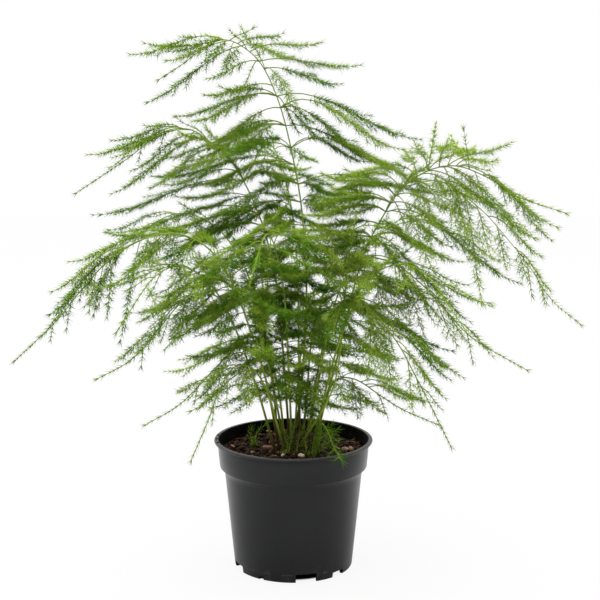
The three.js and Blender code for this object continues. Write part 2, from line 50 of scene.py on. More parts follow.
# ---------------------------------------------------------------- the fronds
# Each frond is one or more limbs. A limb's stem is a list of places from the soil to its tip, and a
# shoot is its station, counted in places along the stem, with the x, y and z of its tip and, where
# it isn't the usual one, its arch. A frond with a fill fans its shoots out by rule. Where outer is
# given, the shoots of the stem's arch begin at that share of its length.
FRONDS = {
    "crown": [{
        "stem": [[0, 2, 91], [6, 6, 137], [10, 12, 202], [7, 16, 263], [0, 20, 307], [-10, 22, 347],
            [-23, 20, 376], [-38, 16, 390], [-52, 10, 394], [-67, 2, 386], [-81, -6, 375],
            [-96, -12, 365]],
        "shoots": [[3.25, -96, 14, 238], [3.55, 115, -14, 286, 0.09], [3.9, -108, 40, 293],
            [4.6, -77, 66, 311, 0.12], [5.2, 94, 14, 322, 0.09], [5.2, -87, 14, 339, 0.08],
            [4.95, 78, -30, 316, 0.14], [4.95, 15, 40, 334, 0.2], [5.9, 34, -8, 362, 0.06],
            [6.15, -65, 40, 367, 0.08], [6.15, 49, 14, 376, 0.05], [5.45, -62, -30, 354, 0.05],
            [6.6, 20, 6, 392, 0.08], [7.0, -105, -6, 349, 0.06], [7.0, 0, -40, 380, 0.06],
            [7.2, -8, 34, 400, 0.06], [7.6, -89, -24, 378, 0.03], [7.6, -29, 16, 403, 0.05],
            [7.9, -120, 18, 384, 0.09], [8.1, -112, 40, 393, -0.02], [4.2, 98, -20, 294, 0.14],
            [4.2, 55, 24, 305, 0.2], [3.25, 36, -60, 274], [3.55, -55, -40, 271],
            [3.25, -48, 60, 254], [4.2, -44, -60, 317], [4.6, -52, 70, 322],
            [5.2, -52, -10, 360, 0.08], [5.2, -69, -50, 336, 0.08], [3.55, -23, -20, 292],
            [3.55, 24, -10, 284], [4.95, -62, -10, 319, 0.08], [4.6, -80, 30, 305, 0.09],
            [4.2, -82, -40, 304, 0.09], [7.9, -88, -10, 385, 0.03], [4.95, 58, 0, 307, 0.12],
            [2.9, -22, -30, 258], [2.9, 28, 20, 248], [3.9, -81, 60, 285, 0.09],
            [3.9, -63, -20, 283, 0.08], [4.6, -62, 40, 321, 0.08], [4.6, -49, -50, 311, 0.08],
            [3.55, 34, 30, 279], [3.25, 21, -20, 272], [2.2, -18, -40, 237], [1.9, -12, -30, 220],
            [1.5, -13, -20, 185], [7.6, -59, -30, 380, 0.05], [7.9, -70, 0, 393, 0.04],
            [7.9, -65, 30, 399, 0.04], [5.9, 2, -20, 348, 0.12], [5.2, 4, 20, 327, 0.12],
            [2.2, -6, -60, 230], [2.6, -18, -10, 233, 0.08], [2.6, -24, 40, 231, 0.08],
            [1.9, -23, -10, 211], [1.9, 23, -20, 207], [2.2, -64, -20, 198, 0.08],
            [2.9, 44, 10, 249, 0.08], [4.95, 21, 10, 321, 0.12], [4.6, 78, 10, 301, 0.08],
            [2.9, -36, 20, 244], [7.0, -50, -20, 372, 0.06]],
        "outer": 0.74,
    }],
    "left_high": [{
        "stem": [[-3, 10, 91], [-8, 14, 163], [-12, 20, 208], [-21, 28, 249], [-33, 34, 280],
            [-47, 38, 304], [-63, 40, 319], [-80, 40, 329], [-101, 38, 326], [-126, 34, 307],
            [-165, 28, 281]],
        "shoots": [[3.2, -116, 76, 223], [3.5, 29, 92, 250], [4.35, -151, 24, 265, 0.075],
            [4.65, 13, 96, 297], [4.95, -109, 60, 292], [5.25, -15, 110, 319], [5.65, -105, 0, 287],
            [6.2, -135, 14, 282], [6.5, -128, 70, 296], [6.9, -160, 58, 309, 0.05],
            [7.2, -133, 10, 309], [3.5, -139, 12, 253], [4.35, 5, -30, 296], [3.9, 2, 20, 280],
            [3.5, 5, -20, 272], [7.2, -135, 20, 321, 0.08], [6.9, -137, 60, 313, 0.06],
            [3.5, -85, 0, 247], [3.2, -101, 60, 235], [3.9, -69, 20, 271, 0.08],
            [4.35, -64, 60, 285], [6.2, -95, 60, 317, 0.08], [5.65, -95, 20, 308],
            [3.2, -6, -40, 266, 0.12], [3.9, -91, 50, 277, 0.07], [4.65, -92, -10, 290, 0.08],
            [5.25, -70, 70, 320, 0.05], [2.7, -38, -20, 251], [2.5, -30, -10, 233],
            [2.7, -38, 10, 234, 0.08], [2.5, -34, 50, 224, 0.08], [2.15, 9, 40, 208, 0.12],
            [2.15, -85, 0, 176], [2.15, -77, 50, 181, 0.08], [3.2, -67, 30, 254, 0.08],
            [3.5, -54, 20, 268, 0.08], [3.5, -51, -10, 251], [5.65, -86, 10, 329, 0.06]],
    }],
    "left_long": [{
        "stem": [[-11, -1, 91], [-20, -20, 147], [-31, -32, 187], [-43, -42, 223], [-59, -50, 248],
            [-80, -56, 259], [-102, -58, 256], [-126, -54, 242], [-147, -46, 221], [-170, -36, 194],
            [-205, -20, 161]],
        "shoots": [[3.1, 12, -96, 244], [3.5, -70, 10, 258], [4.4, -136, -16, 256, 0.05],
            [4.4, -80, -100, 230], [5.1, -115, -104, 232], [5.1, -159, -36, 237],
            [5.6, -94, -96, 240], [6.15, -119, -72, 186, 0.06], [6.55, -170, -46, 217],
            [7.3, -139, -60, 202, 0.04], [6.95, -128, -70, 203, 0.04], [6.95, -171, -20, 205, 0.06],
            [7.7, -168, -66, 204, 0.04], [3.1, -39, -70, 241], [6.55, -135, -30, 236, 0.04],
            [8.1, -152, -40, 210, 0.03], [6.55, -134, -50, 241, 0.05], [8.1, -147, -50, 217, 0.04],
            [7.7, -149, -20, 218, 0.04], [6.15, -123, -70, 245, 0.05]],
        "outer": 0.78,
    }],
    "right_high": [{
        "stem": [[13, 2, 91], [30, -10, 151], [41, -20, 203], [52, -26, 244], [66, -30, 272],
            [78, -34, 290], [96, -38, 302], [115, -42, 305], [136, -46, 297], [157, -46, 284],
            [192, -42, 272]],
        "shoots": [[3.3, 5, -86, 261, 0.07], [4.0, 155, -76, 227, 0.12], [3.3, 122, -20, 235, 0.13],
            [4.3, 19, -70, 286, 0.05], [4.6, 28, 46, 285], [4.6, 94, -96, 239],
            [5.55, 81, -6, 315, 0.12], [5.95, 100, -36, 334, 0.02], [6.65, 154, -30, 321, 0.06],
            [7.4, 118, -48, 331, 0.04], [6.35, 161, -100, 260], [6.95, 182, -62, 264],
            [7.8, 188, -14, 250], [7.4, 113, -20, 325, 0.04], [5.95, 82, -70, 323],
            [6.35, 102, -90, 324, 0.12], [6.65, 134, 10, 317, 0.12], [6.95, 136, -80, 311],
            [4.0, 8, -66, 273], [3.65, 14, -30, 263, 0.06], [4.6, 20, -64, 301, 0.09],
            [5.55, 124, -90, 285], [5.95, 142, -60, 279, 0.08], [4.3, 38, -20, 285, 0.05],
            [4.0, 32, -50, 279], [4.0, 43, -10, 270, 0.13], [3.65, 30, -56, 269, 0.04],
            [3.3, 39, 10, 255, 0.08], [4.3, 110, -20, 264], [4.6, 109, -60, 277],
            [3.65, 80, 0, 256], [4.9, 47, -60, 295, 0.06], [5.25, 25, -40, 298, 0.165],
            [5.25, 98, 10, 286, 0.12], [4.3, 19, 20, 284, 0.08], [4.3, 9, -30, 278],
            [2.9, 53, -50, 247], [4.9, 99, -80, 265, 0.12], [4.9, 38, -10, 301, 0.15],
            [3.3, 83, -60, 224], [3.65, 96, -50, 247, 0.08], [3.3, 21, -20, 251, 0.06],
            [5.55, 55, -50, 310], [5.25, 121, -110, 262], [3.3, 101, -20, 219, 0.14],
            [6.35, 131, -70, 290], [4.0, 112, -40, 248, 0.12], [3.3, 80, -20, 230, 0.12]],
    }, {
        "stem": [[78, -34, 290], [100, -46, 295], [117, -54, 286], [133, -58, 273], [149, -58, 255],
            [165, -54, 236], [182, -48, 212], [207, -36, 191]],
        "shoots": [[2.0, 172, -30, 253], [2.5, 132, -96, 247], [3.1, 173, -54, 243],
            [3.4, 142, -96, 240], [4.3, 157, -92, 232], [2.0, 127, -92, 216, 0.14],
            [0.9, 111, -10, 282], [1.25, 123, -10, 267], [1.25, 140, -40, 278, 0.12],
            [1.6, 116, -94, 261], [1.25, 123, -80, 279]],
    }],
    "right_low": [{
        "stem": [[8, -4, 91], [18, -18, 143], [27, -38, 192], [42, -50, 213], [57, -68, 204],
            [72, -80, 186], [82, -88, 168], [94, -94, 145], [108, -94, 117]],
        "shoots": [[1.7, -21, -110, 221], [2.0, 92, -20, 207], [2.4, 113, -50, 175],
            [2.7, 24, -120, 196], [3.1, 119, -64, 159], [3.45, 59, -120, 170], [4.2, 67, -118, 158],
            [4.55, 109, -70, 159], [4.55, 110, -90, 169, 0.08], [5.2, 105, -80, 148, 0.06],
            [3.45, 66, -110, 176, 0.08], [3.1, 80, -60, 186, 0.08]],
        "outer": 0.75,
    }],
    "right_mid": [{
        "stem": [[6, 7, 91], [10, 8, 125], [14, 8, 172], [26, 2, 215], [46, -6, 236],
            [71, -16, 234], [92, -24, 220], [110, -32, 201], [130, -38, 181], [168, -40, 159]],
        "shoots": [[2.3, -31, -30, 258], [2.6, 45, 80, 256], [4.0, 143, -24, 205],
            [4.4, 67, -90, 187], [5.0, 119, 10, 205], [5.8, 129, -20, 191], [6.15, 113, -76, 184],
            [3.3, 8, -70, 259, 0.12], [3.6, 67, -86, 259, 0.14], [2.9, 40, -74, 269],
            [5.35, 82, -60, 198], [2.9, 55, -60, 244], [2.6, 62, -40, 234], [3.3, 63, -100, 245],
            [5.35, 93, -50, 186], [6.15, 131, -10, 172, 0.08]],
        "outer": 0.8,
    }],
    "left_mid": [{
        "stem": [[-7, 5, 91], [-16, -6, 144], [-25, -14, 187], [-39, -22, 213], [-58, -30, 223],
            [-78, -38, 210], [-97, -44, 188], [-115, -46, 168], [-141, -44, 153]],
        "shoots": [[1.7, 26, -60, 213], [2.3, -80, 40, 240], [2.55, -15, -90, 197],
            [2.9, -110, -10, 197], [3.2, -49, -96, 188], [3.65, -104, 20, 203],
            [4.0, -86, -90, 184], [4.7, -116, 0, 187], [5.0, -111, -84, 175], [1.7, -55, -60, 176],
            [2.3, -69, -40, 184], [3.2, -48, -10, 229], [3.65, -59, -80, 222], [2.0, -22, -50, 217],
            [5.4, -96, -30, 178, 0.08], [4.7, -92, 10, 168, 0.08], [2.0, -31, -20, 238, 0.12],
            [1.7, -18, -40, 223, 0.12], [1.3, -26, -20, 207, 0.12], [1.3, -22, -50, 187],
            [4.0, -62, -60, 223, 0.08], [1.7, -21, -60, 227], [2.9, -38, -60, 219],
            [2.9, -82, -40, 183, 0.14], [2.9, -71, -70, 194, 0.15], [3.2, -91, 0, 181, 0.12],
            [2.55, -68, -20, 188, 0.14], [2.55, -58, -20, 203, 0.12]],
        "outer": 0.8,
    }],
    "left_low": [{
        "stem": [[-7, 13, 91], [-11, 20, 126], [-20, 24, 159], [-38, 22, 166], [-58, 18, 150],
            [-75, 14, 132], [-91, 12, 118], [-114, 10, 105]],
        "shoots": [[1.5, -52, 62, 166], [2.0, -104, 70, 134], [2.4, -38, -50, 147],
            [2.8, -90, 50, 148], [3.6, -59, -30, 129], [4.6, -85, -20, 138, 0.05]],
    }],
    "left_front": [{
        "stem": [[-7, -9, 91], [-18, -26, 137], [-29, -44, 161], [-42, -56, 164], [-52, -66, 149],
            [-59, -72, 130], [-71, -74, 102]],
        "shoots": [[1.5, -20, -110, 194], [1.9, -75, -30, 126], [2.4, -29, -100, 149],
            [3.0, -70, -40, 137], [1.1, -9, -50, 134]],
    }],
    "right_base": [{
        "stem": [[17, 8, 91], [24, 10, 121], [32, 6, 141], [47, 0, 143], [66, -8, 132],
            [82, -14, 123], [107, -18, 113]],
        "shoots": [[1.5, 29, 60, 146], [2.0, 65, -50, 130], [2.3, 84, 40, 135], [2.8, 47, -40, 124],
            [3.2, 98, 20, 124], [3.5, 106, 10, 123, 0.08]],
    }],
    "young": [{
        "stem": [[3, -10, 91], [27, -40, 141], [34, -52, 180], [36, -58, 216], [40, -60, 252],
            [44, -58, 272]],
        "shoots": [[2.2, 31, -76, 205], [2.6, 48, -66, 228], [3.0, 28, -70, 241],
            [3.4, 55, -60, 256], [4.0, -20, -66, 264, 0.12], [3.4, 5, -76, 260, 0.12],
            [4.4, 68, -70, 266, 0.12], [1.2, 5, -50, 179], [1.5, 5, -60, 198],
            [3.6, 60, -70, 224, 0.08]],
    }],
    "rim_sprig": [{
        "stem": [[16, -14, 91], [20, -24, 108], [21, -30, 117], [25, -38, 113], [27, -46, 110],
            [29, -54, 106], [32, -60, 102], [35, -63, 98]],
        "shoots": [[1.8, 27, -33, 113, 0.06], [2.3, 17, -29, 112, 0.06], [2.8, 30, -33, 110, 0.06],
            [3.3, 20, -44, 110, 0.06], [3.8, 32, -41, 107, 0.06], [4.3, 23, -45, 105, 0.06],
            [4.8, 33, -56, 105, 0.06], [5.3, 26, -53, 101, 0.06], [5.8, 36, -56, 99, 0.06],
            [6.3, 29, -65, 99, 0.06]],
    }, {
        "stem": [[-30, 9, 88], [-28, 9, 99], [-19, 6, 109]],
    }, {
        "stem": [[-31, 12, 88], [-33, 12, 96], [-32, 12, 102]],
    }, {
        "stem": [[-6, -14, 88], [-4, -17, 100], [-7, -20, 108]],
    }, {
        "stem": [[-4, -16, 88], [-1, -20, 105], [1, -24, 115]],
    }, {
        "stem": [[2, -16, 88], [4, -20, 103], [7, -26, 112]],
    }, {
        "stem": [[10, -16, 88], [9, -20, 104], [13, -28, 115]],
    }, {
        "stem": [[18, -12, 88], [21, -16, 106], [29, -20, 114]],
    }, {
        "stem": [[20, -10, 88], [26, -12, 103], [33, -14, 108]],
    }, {
        "stem": [[14, -18, 88], [15, -22, 101], [18, -28, 107]],
    }],
    "back_high": [{
        "stem": [[5, 17, 91], [4, 26, 160], [2, 42, 240], [-8, 68, 296], [-22, 104, 316],
            [-38, 150, 292]],
        "fill": {"count": 7, "reach": 70, "drop": 0.2},
    }],
    "back_left": [{
        "stem": [[-12, 15, 91], [-18, 26, 150], [-34, 48, 212], [-62, 78, 250], [-100, 108, 258],
            [-150, 138, 226]],
        "fill": {"count": 7, "reach": 76, "drop": 0.25},
    }],
    "back_right": [{
        "stem": [[12, 15, 91], [20, 28, 150], [40, 52, 212], [74, 80, 248], [114, 104, 250],
            [160, 128, 214]],
        "fill": {"count": 7, "reach": 76, "drop": 0.25},
    }],
    "back_low": [{
        "stem": [[1, 23, 91], [4, 42, 140], [12, 72, 184], [22, 100, 196], [34, 124, 180],
            [44, 142, 150]],
        "fill": {"count": 6, "reach": 60, "drop": 0.3},
    }],
    "front_high": [{
        "stem": [[-1, -15, 91], [-3, -22, 150], [-6, -38, 212], [-12, -66, 250], [-18, -100, 262],
            [-26, -162, 238]],
        "fill": {"count": 6, "reach": 66, "drop": 0.15},
    }],
    "front_right": [{
        "stem": [[14, -8, 91], [27, -15, 150], [42, -35, 206], [62, -66, 236], [86, -98, 238],
            [110, -138, 206]],
        "fill": {"count": 6, "reach": 64, "drop": 0.2},
    }],
    "front_left": [{
        "stem": [[-14, -7, 91], [-30, -16, 150], [-50, -38, 208], [-70, -70, 236], [-90, -100, 236],
            [-112, -136, 204]],
        "fill": {"count": 6, "reach": 64, "drop": 0.2},
    }],
}

# How bright a frond's green is, from 0 in the shade to 1 for new growth: partly the lighter green
# of new growth, partly painted shade, a darker green for fronds that lie in the shade.
BRIGHTNESS = {
    "crown": 0.54, "left_high": 0.51, "left_long": 0.51, "right_high": 0.65, "right_low": 0.56,
    "right_mid": 0.64, "left_mid": 0.56, "left_low": 0.7, "left_front": 0.7, "right_base": 0.58,
    "young": 0.66, "rim_sprig": 0.36, "back_high": 0.52, "back_left": 0.44, "back_right": 0.46,
    "back_low": 0.42, "front_high": 0.52, "front_right": 0.6, "front_left": 0.56,
}

# How thinly a frond is dressed, and how long its needles are, where it isn't as usual.
THIN = {
    "front_left": 1.4, "left_front": 1.25, "left_low": 1.15, "front_right": 1.5, "back_left": 1.3,
    "back_right": 1.5, "right_mid": 1.2, "rim_sprig": 1.15,
}
STRETCH = {"rim_sprig": 1.25}

FAN = {
    "first": 0.42, "last": 0.86, "turn": (48, 74), "fall": (-0.15, 0.2), "length": (0.88, 1.12),
    "outer": 0.62, "sight": 0.2,
}
SHOOT = {"arch": 0.1, "curl": 0.035, "points": 12, "sides": 4}
# A stem that isn't the frond's first is a side stem, thinner, and its wood starts greener.
STEM = {
    "foot": 72.0, "steps": 6, "tufted": 52.0, "sides": 8, "taper": 0.6, "side_size": 0.6,
    "side_wood": 0.4,
}
# Radii at the root and the tip.
RADIUS = {"stem": (1.15, 0.26), "shoot": (0.42, 0.18), "branchlet": (0.24, 0.13)}
BRANCHLET = {
    "spacing": 2.45, "share": 0.23, "least": 4.0, "longest": 18.0, "points": 4, "sides": 3,
    "from": 0.24, "to": 0.84, "lean": (30.0, 52.0), "roll": 14.0, "shortest_limb": 30.0,
    "level": 0.75, "hanging": 0.3, "size": (0.7, 1.15), "first_size": 0.4, "full_after": 0.18,
    "turn_ahead": 0.5, "droop": 0.2, "bare": 0.12,
}
TUFT = {
    "branchlet": 1.95, "shoot": 2.6, "stem": 3.6, "needles": 4, "lean": (54.0, 26.0),
    "spread": (0.72, 1.28), "stray": 0.25, "last": 0.4, "before_last": 1.5, "shift": 0.3,
}
NEEDLE = {"length": (4.9, 5.0), "size": (0.75, 1.2), "width": 0.28, "flat": 0.7, "bend": 0.5}
# Where growth stands within its share of a line.
WITHIN = (0.2, 0.8)
# Shoots that stand between the listed ones, short ones low on each stem, and those of its arch,
# which hang and lead outward in turn.
BETWEEN = {
    "size": (0.7, 0.95), "turn": 26.0, "apart": 10.0, "above": 176.0, "below": 262.0,
    "twice": 22.0, "one": (0.5,), "two": (0.3, 0.7), "shift": 0.1,
}
LOW = {
    "from": 128.0, "to": 248.0, "pitch": 12.0, "length": (30.0, 56.0), "fall": (0.02, 0.34),
    "bare": 8, "turn": 137.5, "fewest_shoots": 5,
}
OUTER = {
    "from": 0.56, "bare": 40.0, "pitch": 11.0, "length": (16.0, 38.0), "hang": 0.7,
    "size": (0.8, 1.15), "ahead": 0.5, "stray": 0.35, "rise": (-0.15, 0.2),
}
# With its tip's distance from the heart of the plant, a shoot's green goes from shade to light and
# its growth opens up: the darker green at the heart is painted shade, where the thick of the plant
# shades itself, and new growth stands outside.
HEART = {"place": (0.0, 0.0, 228.0), "reach": 165.0, "tone": (-0.17, 0.02), "open": (0.7, 1.24)}
# What lightens a frond's green: where it grows, and which way a needle or a branchlet lies. A
# needle that points upward is painted lighter: painted light from above.
LIGHTER = {"stem": 0.05, "limb_tuft": 0.04, "painted_light_upward": 0.12, "outward": 0.12, "tip": 0.1}
# How much the green varies from one to the next.
UNEVEN = {"shoot": 0.085, "branchlet": 0.05, "needle": 0.07}
SEED = 4207


# ---------------------------------------------------------------- lines and directions
def unit(vectors):
    return vectors / np.maximum(np.linalg.norm(vectors, axis=-1, keepdims=True), 1e-9)


def mix(a, b, share):
    return a + (b - a) * share


def headings(lines):
    """The heading at each place of lines shaped (count, places, 3)."""
    ahead = np.empty_like(lines)
    ahead[:, 1:-1] = lines[:, 2:] - lines[:, :-2]
    ahead[:, 0] = lines[:, 1] - lines[:, 0]
    ahead[:, -1] = lines[:, -1] - lines[:, -2]
    return unit(ahead)


def carried_sides(ahead, first):
    """A direction across each line at each of its places, carried along it without twisting."""
    sides = np.empty_like(ahead)
    side = first
    for k in range(ahead.shape[1]):
        side = unit(side - (side * ahead[:, k]).sum(-1, keepdims=True) * ahead[:, k])
        sides[:, k] = side
    return sides


def smooth_line(places, steps):
    """A Catmull-Rom line through the places, with this many steps from each to the next."""
    places = np.asarray(places, float)
    ends = np.vstack([2 * places[0] - places[1], places, 2 * places[-1] - places[-2]])
    line = [places[0]]
    for k in range(1, len(places)):
        a, b, c, d = ends[k - 1:k + 3]
        for t in np.arange(1, steps + 1) / steps:
            line.append(0.5 * (2 * b + (c - a) * t + (2 * a - 5 * b + 4 * c - d) * t**2
                               + (3 * b - 3 * c + d - a) * t**3))
    return np.array(line)


class Limb:
    """A line that gives its place, heading and level side at any distance from its root."""

    def __init__(self, places):
        self.places = places
        steps = np.linalg.norm(np.diff(places, axis=0), axis=1)
        self.distances = np.concatenate([[0.0], np.cumsum(steps)])
        self.length = self.distances[-1]
        self.ahead = headings(places[None])[0]
        chord = places[-1] - places[0]
        level = np.cross(chord, UP)
        if np.linalg.norm(level) < 0.2 * np.linalg.norm(chord):
            level = np.array([1.0, 0.0, 0.0])
        self.sides = carried_sides(self.ahead[None], unit(level)[None])[0]

    def read(self, values, distance):
        columns = [np.interp(distance, self.distances, column) for column in values.T]
        return np.stack(columns, -1)

    def at(self, distance):
        return self.read(self.places, distance)

    def heading(self, distance):
        return unit(self.read(self.ahead, distance))

    def side(self, distance):
        return unit(self.read(self.sides, distance))


# ---------------------------------------------------------------- where the shoots go
def make_draw(seed):
    """Park and Miller's generator, whose draws also place the solids' shoots."""
    state = seed
    while True:
        state = state * 48271 % 2147483647
        yield state / 2147483647


def place_at(places, station):
    k = min(int(station), len(places) - 2)
    return mix(places[k], places[k + 1], station - k)


def fan_out(stem, fill, draw):
    """Shoot tips for a frond that fans out by rule: left and right in turn, shorter to the tip."""
    last = len(stem) - 1
    tips = []
    for k in range(fill["count"]):
        outward = k / (fill["count"] - 1)
        station = last * mix(FAN["first"], FAN["last"], outward)
        ahead = (place_at(stem, station + FAN["sight"])
                 - place_at(stem, station - FAN["sight"]))
        turn = (1 if k % 2 else -1) * mix(*FAN["turn"], next(draw))
        heading = math.atan2(ahead[1], ahead[0]) + math.radians(turn)
        length = fill["reach"] * mix(1, FAN["outer"], outward) * mix(*FAN["length"], next(draw))
        fall = length * (fill["drop"] + mix(*FAN["fall"], next(draw)))
        way = np.array([length * math.cos(heading), length * math.sin(heading), -fall])
        tips.append([station, *(place_at(stem, station) + way)])
    return tips


def shoot_limb(root, tip, arch=SHOOT["arch"]):
    """A shoot: it rises out of its stem, arches over and sags, and its tip turns up again. Arch
    and curl are how far it stands above and below its chord, as shares of its length."""
    t = np.linspace(0, 1, SHOOT["points"])[:, None]
    peak = 4 / 27  # what t * (1 - t)**2 rises to
    rise = t * (1 - t) * (arch * (1 - t) - SHOOT["curl"] * t) / peak
    return Limb(mix(root, tip, t) + np.linalg.norm(tip - root) * rise * UP)


def between_tips(line, tips, rng):
    """Tips for shoots between the listed ones, like their neighbours but shorter."""
    found = []
    listed = sorted(tip[:4] for tip in tips)
    for (low, *tip), (high, *next_tip) in zip(listed, listed[1:]):
        first, last = (place_at(line, s * STEM["steps"]) for s in (low, high))
        gap = np.linalg.norm(last - first)
        if gap < BETWEEN["apart"] or not BETWEEN["above"] < first[2] < BETWEEN["below"]:
            continue
        ways = np.array(tip) - first, np.array(next_tip) - last
        usual = np.mean([np.linalg.norm(way) for way in ways])
        for share in BETWEEN["two" if gap > BETWEEN["twice"] else "one"]:
            station = mix(low, high, share + rng.uniform(-BETWEEN["shift"], BETWEEN["shift"]))
            way = unit(mix(*ways, rng.uniform(*WITHIN))) * usual * rng.uniform(*BETWEEN["size"])
            turn = math.radians(rng.normal(0, BETWEEN["turn"]))
            x, y, z = way
            way = np.array([x * math.cos(turn) - y * math.sin(turn),
                            x * math.sin(turn) + y * math.cos(turn), z])
            found.append([station, *(place_at(line, station * STEM["steps"]) + way)])
    return found


def low_tips(line, rng):
    """Tips for short shoots low on a stem, turned on from one to the next."""
    found = []
    heading = rng.uniform(0, 2 * math.pi)
    rise = np.maximum.accumulate(line[:, 2])
    top = min(LOW["to"], rise[-1] - LOW["bare"])
    for height in np.arange(LOW["from"] + rng.uniform(0, LOW["pitch"]), top, LOW["pitch"]):
        station = np.interp(height, rise, np.arange(len(line)))
        heading += math.radians(LOW["turn"])
        length = mix(*LOW["length"], rng.uniform())
        fall = length * mix(*LOW["fall"], rng.uniform())
        way = np.array([length * math.cos(heading), length * math.sin(heading), -fall])
        found.append([station / STEM["steps"], *(place_at(line, station) + way)])
    return found


def outer_tips(line, begin, rng):
    """Tips for the shoots of a stem's arch, from long at its top to short near its tip."""
    found = []
    stem = Limb(line)
    first = stem.length * begin
    last = stem.length - OUTER["bare"]
    for n, distance in enumerate(np.arange(first, last, OUTER["pitch"])):
        inward = (last - distance) / (last - first)
        length = mix(*OUTER["length"], inward) * rng.uniform(*OUTER["size"])
        ahead, side = stem.heading(distance), stem.side(distance)
        if n % 2:
            length *= OUTER["hang"]
            way = unit(OUTER["ahead"] * ahead + rng.normal(0, OUTER["stray"]) * side - UP)
        else:
            way = unit(ahead + rng.choice((-1, 1)) * rng.uniform(*WITHIN) * side
                       + rng.uniform(*OUTER["rise"]) * UP)
        station = np.interp(distance, stem.distances, np.arange(len(line))) / STEM["steps"]
        found.append([station, *(stem.at(distance) + way * length)])
    return found


def frond_limbs(parts, draw, rng):
    """A frond's stems and its shoots: the listed ones and those that follow by rule."""
    stems, shoots = [], []
    for number, part in enumerate(parts):
        places = np.array(part["stem"], float)
        line = smooth_line(places, STEM["steps"])
        tips = fan_out(places, part["fill"], draw) if "fill" in part else part.get("shoots", [])
        more = outer_tips(line, part.get("outer", OUTER["from"]), rng)
        if "fill" not in part:
            more += between_tips(line, tips, rng)
        if number == 0 and len(tips) >= LOW["fewest_shoots"]:
            more += low_tips(line, rng)
        for station, x, y, z, *arch in [*tips, *more]:
            root = place_at(line, station * STEM["steps"])
            shoots.append(shoot_limb(root, np.array([x, y, z], float), *arch))
        if number == 0:
            foot = line[:1] * [1, 1, 0] + STEM["foot"] * UP
            line = np.vstack([foot, line])
        stems.append(Limb(line))
    return stems, shoots


# ---------------------------------------------------------------- strands and needles
class Foliage:
    """Gathers a frond's strands and needles: places, faces and each place's spot on its map.

    Across the map the green goes from shade to new growth, and up it from the soil end of a stem
    by way of shoots and branchlets to the tip of a needle.
    """

    def __init__(self, stretch):
        self.stretch = stretch
        self.places, self.faces, self.spots, self.count = [], [], [], 0

    def add(self, places, faces, spots):
        self.places.append(places.reshape(-1, 3))
        self.spots.append(spots.reshape(-1, 2))
        self.faces.append(faces.reshape(-1, 3) + self.count)
        self.count += places.size // 3

    def add_strands(self, lines, radii, sides, level, bright, heights):
        """Tapering closed tubes along lines shaped (count, places, 3)."""
        count, rings = lines.shape[:2]
        ahead = headings(lines)
        side = carried_sides(ahead, level)
        over = np.cross(ahead, side)
        angle = 2 * math.pi * np.arange(sides) / sides
        ring = side[:, :, None] * np.cos(angle)[:, None] + over[:, :, None] * np.sin(angle)[:, None]
        places = lines[:, :, None] + np.reshape(radii, (-1, rings, 1, 1)) * ring
        a = np.arange(rings - 1)[:, None] * sides + np.arange(sides)
        b = np.arange(rings - 1)[:, None] * sides + (np.arange(sides) + 1) % sides
        walls = np.stack([a, b, b + sides, a, b + sides, a + sides], -1).reshape(-1, 3)
        fan = np.array([[0, k, k + 1] for k in range(1, sides - 1)])
        shape = np.vstack([walls, fan[:, ::-1], fan + (rings - 1) * sides])
        faces = shape + (np.arange(count) * rings * sides)[:, None, None]
        across = bright[:, None, None] + MAP["step"] * (np.arange(sides) / sides - 0.5)
        up = np.reshape(heights, (-1, rings, 1)) + MAP["step"] * np.arange(rings)[:, None] / rings
        spots = np.stack(np.broadcast_arrays(across, up + 0 * across), -1)
        spots = np.broadcast_to(spots, (count, rings, sides, 2))
        self.add(places, faces, spots)

    def add_needles(self, roots, ways, lengths, bright, spins):
        """Copies of the one needle, each set on its root and turned along its way."""
        shape, corners = needle_shape()
        helper = np.where(np.abs(ways[:, 2:]) > 0.9, [1.0, 0.0, 0.0], UP)
        side = unit(np.cross(ways, helper))
        over = np.cross(ways, side)
        turned = side * np.cos(spins)[:, None] + over * np.sin(spins)[:, None]
        across = np.cross(ways, turned)
        width = NEEDLE["width"]
        places = (roots[:, None] + turned[:, None] * shape[:, 0, None] * width
                  + across[:, None] * shape[:, 1, None] * width
                  + ways[:, None] * shape[:, 2, None] * (lengths * self.stretch)[:, None, None])
        faces = corners + (np.arange(len(roots)) * len(shape))[:, None, None]
        spots = np.stack([
            bright[:, None] + MAP["step"] * shape[:, 0],
            np.broadcast_to(mix(*MAP["needle"], shape[:, 2]) + MAP["step"] * shape[:, 1],
                            (len(roots), len(shape))),
        ], -1)
        self.add(places, faces, spots)

    def make(self, name, finish):
        mesh = bpy.data.meshes.new(name)
        places = np.vstack(self.places) * MM
        faces = np.vstack(self.faces)
        spots = np.clip(np.vstack(self.spots), *MAP["margins"])
        mesh.vertices.add(len(places))
        mesh.vertices.foreach_set("co", places.astype(np.float32).ravel())
        mesh.loops.add(faces.size)
        mesh.loops.foreach_set("vertex_index", faces.astype(np.int32).ravel())
        mesh.polygons.add(len(faces))
        mesh.polygons.foreach_set("loop_start", np.arange(0, faces.size, 3, dtype=np.int32))
        mesh.polygons.foreach_set("use_smooth", np.ones(len(faces), bool))
        layer = mesh.uv_layers.new(name=MAP["name"])
        layer.uv.foreach_set("vector", spots[faces.ravel()].astype(np.float32).ravel())
        mesh.update(calc_edges=True)
        mesh.materials.append(finish)
        piece = bpy.data.objects.new(name, mesh)
        bpy.context.scene.collection.objects.link(piece)
        return piece


# Heights on the foliage map, how far apart neighbouring places lie on it, and its margins.
MAP = {
    "name": "OFBake", "step": 0.012, "stem": (0.02, 0.26), "shoot": (0.3, 0.4),
    "branchlet": (0.42, 0.56), "needle": (0.62, 0.96), "margins": (0.002, 0.998),
}


def deselect():
    bpy.ops.object.select_all(action="DESELECT")


def settle():
    """Puts the active object's place, turn and size into its mesh."""
    bpy.ops.object.transform_apply(location=True, rotation=True, scale=True)


